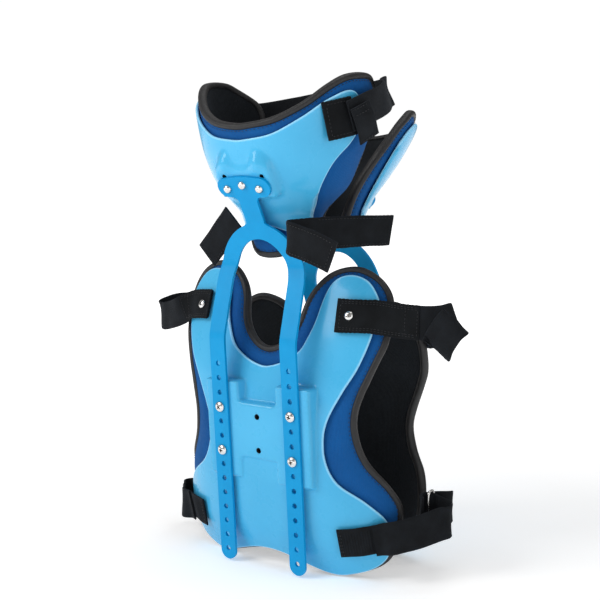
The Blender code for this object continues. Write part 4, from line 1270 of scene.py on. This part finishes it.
def build_fasteners():
    screw, short = phillips(*SCREW, LONG_SHANK), phillips(*SCREW, SHORT_SHANK)
    small, rivet = phillips(*STRAP_SCREW, STRAP_SHANK), rivet_head(*RIVET)
    for side, name, body, pattern in (
        (BACK, "posterior", "back_half", screw),
        (FRONT, "anterior", "chin_unit", short),
    ):
        for k, (point, way) in enumerate(screw_places(side), start=1):
            piece = copy_at(pattern, f"{name}_screw_{k}_head", point + way * GAP, way, 0.4 + k)
            ride(piece, body, "bright_metal", f"{name}_screw_{k}")
    for side, name, part, body in (
        (BACK, "posterior", "occipital", "occipital_unit"),
        (FRONT, "anterior", "chin", "chin_unit"),
    ):
        upright = UPRIGHTS[name]
        for k, (x, along) in enumerate(head_rivets(upright), start=1):
            point = upright.points(x, along, GAP)
            way = upright.points(x, along, 1.0 + GAP) - point
            piece = copy_at(rivet, f"{part}_rivet_{k}_head", point, way)
            ride(piece, body, "bright_metal", f"{part}_rivet_{k}")
    for surface, z, where, body in (
        (POSTERIOR, SHOULDER_Z, "back", "back_half"),
        (ANTERIOR, FRONT_SHOULDER_Z, "front", "front_half"),
    ):
        for hand, label in ((1, "right"), (-1, "left")):
            point = on_torso(surface, 91 * hand, z, STRAP_LIFT + 2.0)
            way = on_torso(surface, 91 * hand, z, 10) - on_torso(surface, 91 * hand, z, 0)
            piece = copy_at(small, f"shoulder_rivet_{where}_{label}_head", point, way, 0.6)
            ride(piece, body, "bright_metal", f"shoulder_rivet_{where}_{label}")
    for pattern in (screw, short, small, rivet):
        bpy.data.objects.remove(pattern)


def shoulder_strap(label):
    """The whole path of a shoulder strap, from the back lobe round its fold to the front lobe."""
    up_back, up_front = up_torso(POSTERIOR, 97, SHOULDER_Z), up_torso(ANTERIOR, 100, FRONT_SHOULDER_Z)
    on_front = [on_torso(ANTERIOR, x, FRONT_SHOULDER_Z, STRAP_LIFT) for x in (112, 100, 84)]
    if label == "right":
        path = [on_torso(POSTERIOR, x, SHOULDER_Z, STRAP_LIFT) for x in (78, 96, 113)]
        path += [(140, -50, 261.5), (166, -47.5, 260.5), (184, -45, 262), (197, -45.5, 265.5), (201, -50, 265)]
        path += [(196, -54, 259), (187, -54, 246), (182, -50, 238)]
        path += [(178, -43, 240), (170, -16, 247), (160, 4, 247), (142, 24, 244), (128, 36, 240)]
        turn = [up_back] * 3 + [UP, UP, (-0.15, 0, 0.98), (-0.4, 0, 0.9), (-0.56, 0, 0.83), (-0.7, 0, 0.7)]
        turn += [(-0.86, 0, 0.5), (-0.88, 0, 0.46), (-0.5, 0, 0.8), UP, UP, UP, UP, up_front]
        return path + on_front, turn, 32.0
    path = [on_torso(POSTERIOR, x, z, STRAP_LIFT) for x, z in ((80, 263), (97, 262), (113, 259))]
    path += [(131, -55, 252), (149, -50, 247), (161, -46, 245), (167, -40, 247), (163, -32, 251)]
    path += [(156, -20, 254), (142, 4, 252), (128, 30, 244)]
    turn = [up_back] * 3 + [(0.1, 0, 1)] + [UP] * 7 + [up_front]
    return flipped(path + on_front, -1), flipped(turn, -1), 30.0


def build_shoulder_straps():
    """Each strap with its stitched hook tape."""
    for hand, label, tape_end in ((1, "right", 0.27), (-1, "left", 0.2)):
        strap = shoulder_strap(label)
        web = ribbon(f"shoulder_strap_{label}_web", strap, WEBBING)
        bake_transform(web)
        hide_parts(f"shoulder_strap_back_{label}", f"shoulder_strap_front_{label}")
        lift = HOOK_TAPE_LIFT * hand
        tape = ribbon(f"shoulder_tape_{label}", strap, HOOKED, (0.0, tape_end), lift, strap[2] + 1, 1.4, fray=0.5)
        ride(tape, "back_half", "strap_webbing")
        edges = [(side * share, 0.01, tape_end - 0.004) for side in (-1, 1) for share in (0.74, 0.86)]
        lines = strap_lines(strap, edges, 2.0 * hand)
        lines += cross_lines(strap, (0.012, tape_end - 0.045, tape_end - 0.008), 2.0 * hand)
        sew(f"shoulder_stitches_{label}", lines, "back_half")


def waist_strap(hand, heights):
    """The strap fixed to the back half: out to its turn, back beside itself and round the ring's near bar."""
    path = [on_torso(POSTERIOR, x, z, STRAP_LIFT) for x, z in zip((84, 101, 118), heights["back"])]
    path += [(x, y, z) for (x, y), z in zip(WAIST_LOOP, heights["loop"])]
    up = [up_torso(POSTERIOR, x, heights["back"][1]) for x in (101, 101, 118)]
    return flipped(path, hand), flipped([*up, UP], hand), 33.0


def waist_tab(hand, heights):
    """The tab of the front half, from round the ring's far bar to the shell."""
    path = [(x, y, z) for (x, y), z in zip(TAB_LOOP, heights["tab"])]
    path += [on_torso(ANTERIOR, x, z, STRAP_LIFT + 0.6) for x, z in zip((118, 105, 92), heights["front"])]
    turn = [UP] * len(TAB_LOOP) + [up_torso(ANTERIOR, 118, heights["front"][0])]
    return flipped(path, hand), flipped(turn, hand), 30.0


def wire_ring(name, centre, half_y, half_z, radius):
    """A rounded rectangular ring of wire in the plane X = constant."""
    corner = 3.5
    loop = []
    for sy, sz, start in ((1, 1, 0), (-1, 1, 90), (-1, -1, 180), (1, -1, 270)):
        loop += arc(sy * (half_y - corner), sz * (half_z - corner), corner, corner, start, start + 90, 8)
    loop = np.array([(0, y, z) for y, z in loop], float) + centre
    along = unit(np.roll(loop, -1, 0) - np.roll(loop, 1, 0))
    sideways = np.array([(1.0, 0, 0)] * len(loop))
    outward = np.cross(along, sideways)
    sides = 12
    turns = [2 * math.pi * k / sides for k in range(sides)]
    rings = [loop + (sideways * math.cos(t) + outward * math.sin(t)) * radius for t in turns]
    points = np.stack(rings, axis=1).reshape(-1, 3)
    faces = [(a, d, c, b) for a, b, c, d in tube_faces(len(loop), sides, True)]
    return to_mesh(name, points, faces, [METAL])


def build_waist_straps():
    """The ribbed length on the shell, the smooth strap laid over it and through the ring, and the front tab."""
    for hand, label in ((1, "right"), (-1, "left")):
        heights = WAIST_HEIGHTS[label]
        strap, tab = waist_strap(hand, heights), waist_tab(hand, heights)
        ribbed = ribbon(f"waist_strap_{label}_ribbed", strap, WEBBING, (0, 0.3), 0, 30.0, 1.8, ribs=0.3)
        ride(ribbed, "back_half", "strap_webbing")
        smooth = ribbon(f"waist_strap_{label}_smooth", strap, WEBBING, (0.22, 1.0), OVERLAY_LIFT * hand)
        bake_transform(smooth)
        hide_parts(f"waist_strap_back_{label}")
        lines = cross_lines(strap, (0.012, 0.03), 1.5 * hand)
        sew(f"waist_stitches_{label}", lines, "back_half")
        web = ribbon(f"waist_tab_{label}_web", tab, WEBBING)
        ride(web, "front_half", "strap_webbing", f"waist_tab_front_{label}")
        ring = wire_ring(f"waist_ring_{label}_wire", (148 * hand, 3, heights["tab"][0]), 5.0, 18.0, 1.3)
        ride(ring, "front_half", "bright_metal", f"waist_ring_{label}")


def build_neck_straps():
    right = [(99, 4, 343), (80, -36, 342.5), (66, -67, 341.5), (57, -87, 340.5), (50.5, -96, 339.5)]
    right += [(51, -102, 338.5), (60, -105, 336), (80, -104, 330), (101, -101, 321)]
    turn = [(0.3, 0, 0.95), (0.1, 0, 1), UP, UP, UP, (0.05, 0, 1), (0.2, 0, 1), (0.36, 0, 0.93), (0.5, 0, 0.87)]
    strap = (right, turn, 31.0)
    web = ribbon("neck_strap_right_web", strap, WEBBING, fray=0.3)
    ride(web, "occipital_unit", "strap_webbing", "neck_strap_right")
    lines = strap_lines(strap, ((0.8, 0.66, 0.985), (-0.8, 0.66, 0.985)), STITCH_LIFT)
    lines += cross_lines(strap, (0.975,), STITCH_LIFT)
    lines += strap_lines(strap, ((0.84, 0.02, 0.5), (-0.84, 0.02, 0.5)), -STITCH_LIFT)
    sew("neck_stitches_right", lines, "occipital_unit")
    left = ([(-45, -65, 355), (-56, -63, 344), (-70, -61, 330), (-85, -60, 315)], [(0.75, 0, -0.66)], 30.0)
    ride(ribbon("neck_strap_left_web", left, WEBBING), "occipital_unit", "strap_webbing", "neck_strap_left")
    lines = strap_lines(left, ((0.82, 0.02, 0.98), (-0.82, 0.02, 0.98)), 1.3) + cross_lines(left, (0.96,), 1.3)
    sew("neck_stitches_left", lines, "occipital_unit")


def forehead_strap():
    outside = ((72, 452, 9), (84, 460, 9), (97, 466.5, 9), (108, 473, 10))
    path = [on_cup(OCCIPITAL, angle, z, lift) for angle, z, lift in outside]
    path += [(91.5, 6, 477.5), (88.5, 13, 479.5), (81, 21, 480), (66, 32, 478.5), (40, 38, 476)]
    path += [(-12, 40, 470), (-50, 38, 465.5), (-74, 28, 461.5), (-86, 13, 459.5)]
    path += flipped([on_cup(OCCIPITAL, angle, z, 6) for angle, z in ((115, 458), (104, 456))], -1)
    turn = [(0, -0.3, 1)] * 3 + [(-0.1, -0.3, 1), (-0.3, -0.1, 0.95), (-0.42, 0, 0.91), UP]
    return path, turn, 30.0


def build_forehead_strap():
    strap = forehead_strap()
    ride(ribbon("forehead_strap_web", strap, WEBBING), "occipital_unit", "strap_webbing", "forehead_strap")
    hanging = ((76, 463, 13), (80, 450, 15.5), (87, 434, 14.5))
    tail = ([on_cup(OCCIPITAL, angle, z, lift) for angle, z, lift in hanging], [(0.3, 0.9, 0.25)], 24.0)
    ride(ribbon("forehead_tail_web", tail, WEBBING), "occipital_unit", "strap_webbing", "forehead_tail")
    lines = cross_lines(tail, (0.06, 0.2, 0.93), -1.4) + cross_lines(tail, (0.06, 0.2, 0.93), 1.4)
    sew("forehead_stitches", lines, "occipital_unit")
    for hand, label, angles in ((1, "right", (57, 67, 77)), (-1, "left", (78, 88, 97))):
        middle = [on_cup(OCCIPITAL, angle, 446 + 3.5 * k, 4.6) for k, angle in enumerate(angles)]
        patch = (flipped(middle, hand), [UP], 36.0)
        tape = ribbon(f"forehead_patch_{label}_tape", patch, HOOKED, fray=0.4)
        ride(tape, "occipital_unit", "strap_webbing", f"forehead_patch_{label}")
        lines = cross_lines(patch, (0.1, 0.9), STITCH_LIFT * hand)
        lines += strap_lines(patch, ((0.82, 0.1, 0.9), (-0.82, 0.1, 0.9)), STITCH_LIFT * hand)
        sew(f"forehead_patch_stitches_{label}", lines, "occipital_unit")


def keep_hidden_parts():
    """The inserts keep their CAD shapes and take the metal finish."""
    for name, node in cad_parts.items():
        if "insert" in name:
            node.data.materials.clear()
            node.data.materials.append(METAL)


# ---------------------------------------------------------------- stage

def stage():
    """A white floor, and a world that is white to look at and dimmer as a light."""
    floor_look = Look("studio_floor", Roughness=0.8, Specular_IOR_Level=0.05, Emission_Strength=1.0)
    here = floor_look.place()
    away = floor_look.node("ShaderNodeVectorMath", operation="LENGTH")
    floor_look.link(here, away.inputs[0])
    spread = floor_look.range(away.outputs["Value"], 0.4, 2.2, 0.0, 1.0)
    glow = floor_look.ramp(spread, (0.0, (0.36, 0.36, 0.36)), (1.0, (1.0, 1.0, 1.0)))
    floor_look.link(glow, floor_look.shader.inputs["Emission Color"])
    pale = floor_look.ramp(floor_look.noise(here, 2, 2), (0.3, (0.93, 0.93, 0.93)), (0.7, (0.95, 0.95, 0.95)))
    floor_look.finish(pale)
    size = FLOOR_HALF_SIZE
    corners = np.array([(-size, -size, 0), (size, -size, 0), (size, size, 0), (-size, size, 0)])
    corners[:, 2] += BASE_CENTRE[2] - 0.05
    floor = to_mesh("studio_floor", corners, [(0, 1, 2, 3)], [floor_look.material])
    world = bpy.data.worlds.new("studio")
    world.use_nodes = True
    nodes, links = world.node_tree.nodes, world.node_tree.links
    background = nodes["Background"]
    background.inputs["Color"].default_value = (1, 1, 1, 1)
    seen, strength = nodes.new("ShaderNodeLightPath"), nodes.new("ShaderNodeMapRange")
    strength.inputs["To Min"].default_value = WORLD_LIGHT
    strength.inputs["To Max"].default_value = 1.02
    links.new(seen.outputs["Is Camera Ray"], strength.inputs["Value"])
    links.new(strength.outputs["Result"], background.inputs["Strength"])
    bpy.context.scene.world = world
    bpy.context.scene.view_settings.view_transform = "Standard"


def softbox(name, location, size, power):
    light = bpy.data.lights.new(name, "AREA")
    light.shape, light.size, light.size_y = "RECTANGLE", size[0], size[1]
    light.energy = power
    made = bpy.data.objects.new(name, light)
    made.location = location
    made.rotation_mode = "QUATERNION"
    made.rotation_quaternion = (Vector(LIGHTS_AIM) - Vector(location)).to_track_quat("-Z", "Y")
    bpy.context.scene.collection.objects.link(made)


def camera():
    data = bpy.data.cameras.new("camera")
    data.lens, data.sensor_width = CAMERA_LENS, SENSOR_WIDTH
    data.clip_end = 50
    made = bpy.data.objects.new("camera", data)
    made.location = Vector((np.array(CAMERA_AT) - BASE_CENTRE) * MM)
    made.rotation_mode = "QUATERNION"
    made.rotation_quaternion = Vector(CAMERA_WAY).to_track_quat("-Z", "Y")
    bpy.context.scene.collection.objects.link(made)
    bpy.context.scene.camera = made


build_torso("posterior", "back_half")
build_torso("anterior", "front_half")
build_cup("occipital", "occipital_unit", UPRIGHTS["posterior"], (407, 421))
build_cup("chin", "chin_unit", UPRIGHTS["anterior"], (391, 405))
build_uprights()
build_fasteners()
build_shoulder_straps()
build_waist_straps()
build_neck_straps()
build_forehead_strap()
keep_hidden_parts()
stage()
for name, location, size, power in SOFTBOXES:
    softbox(name, location, size, power)
camera()
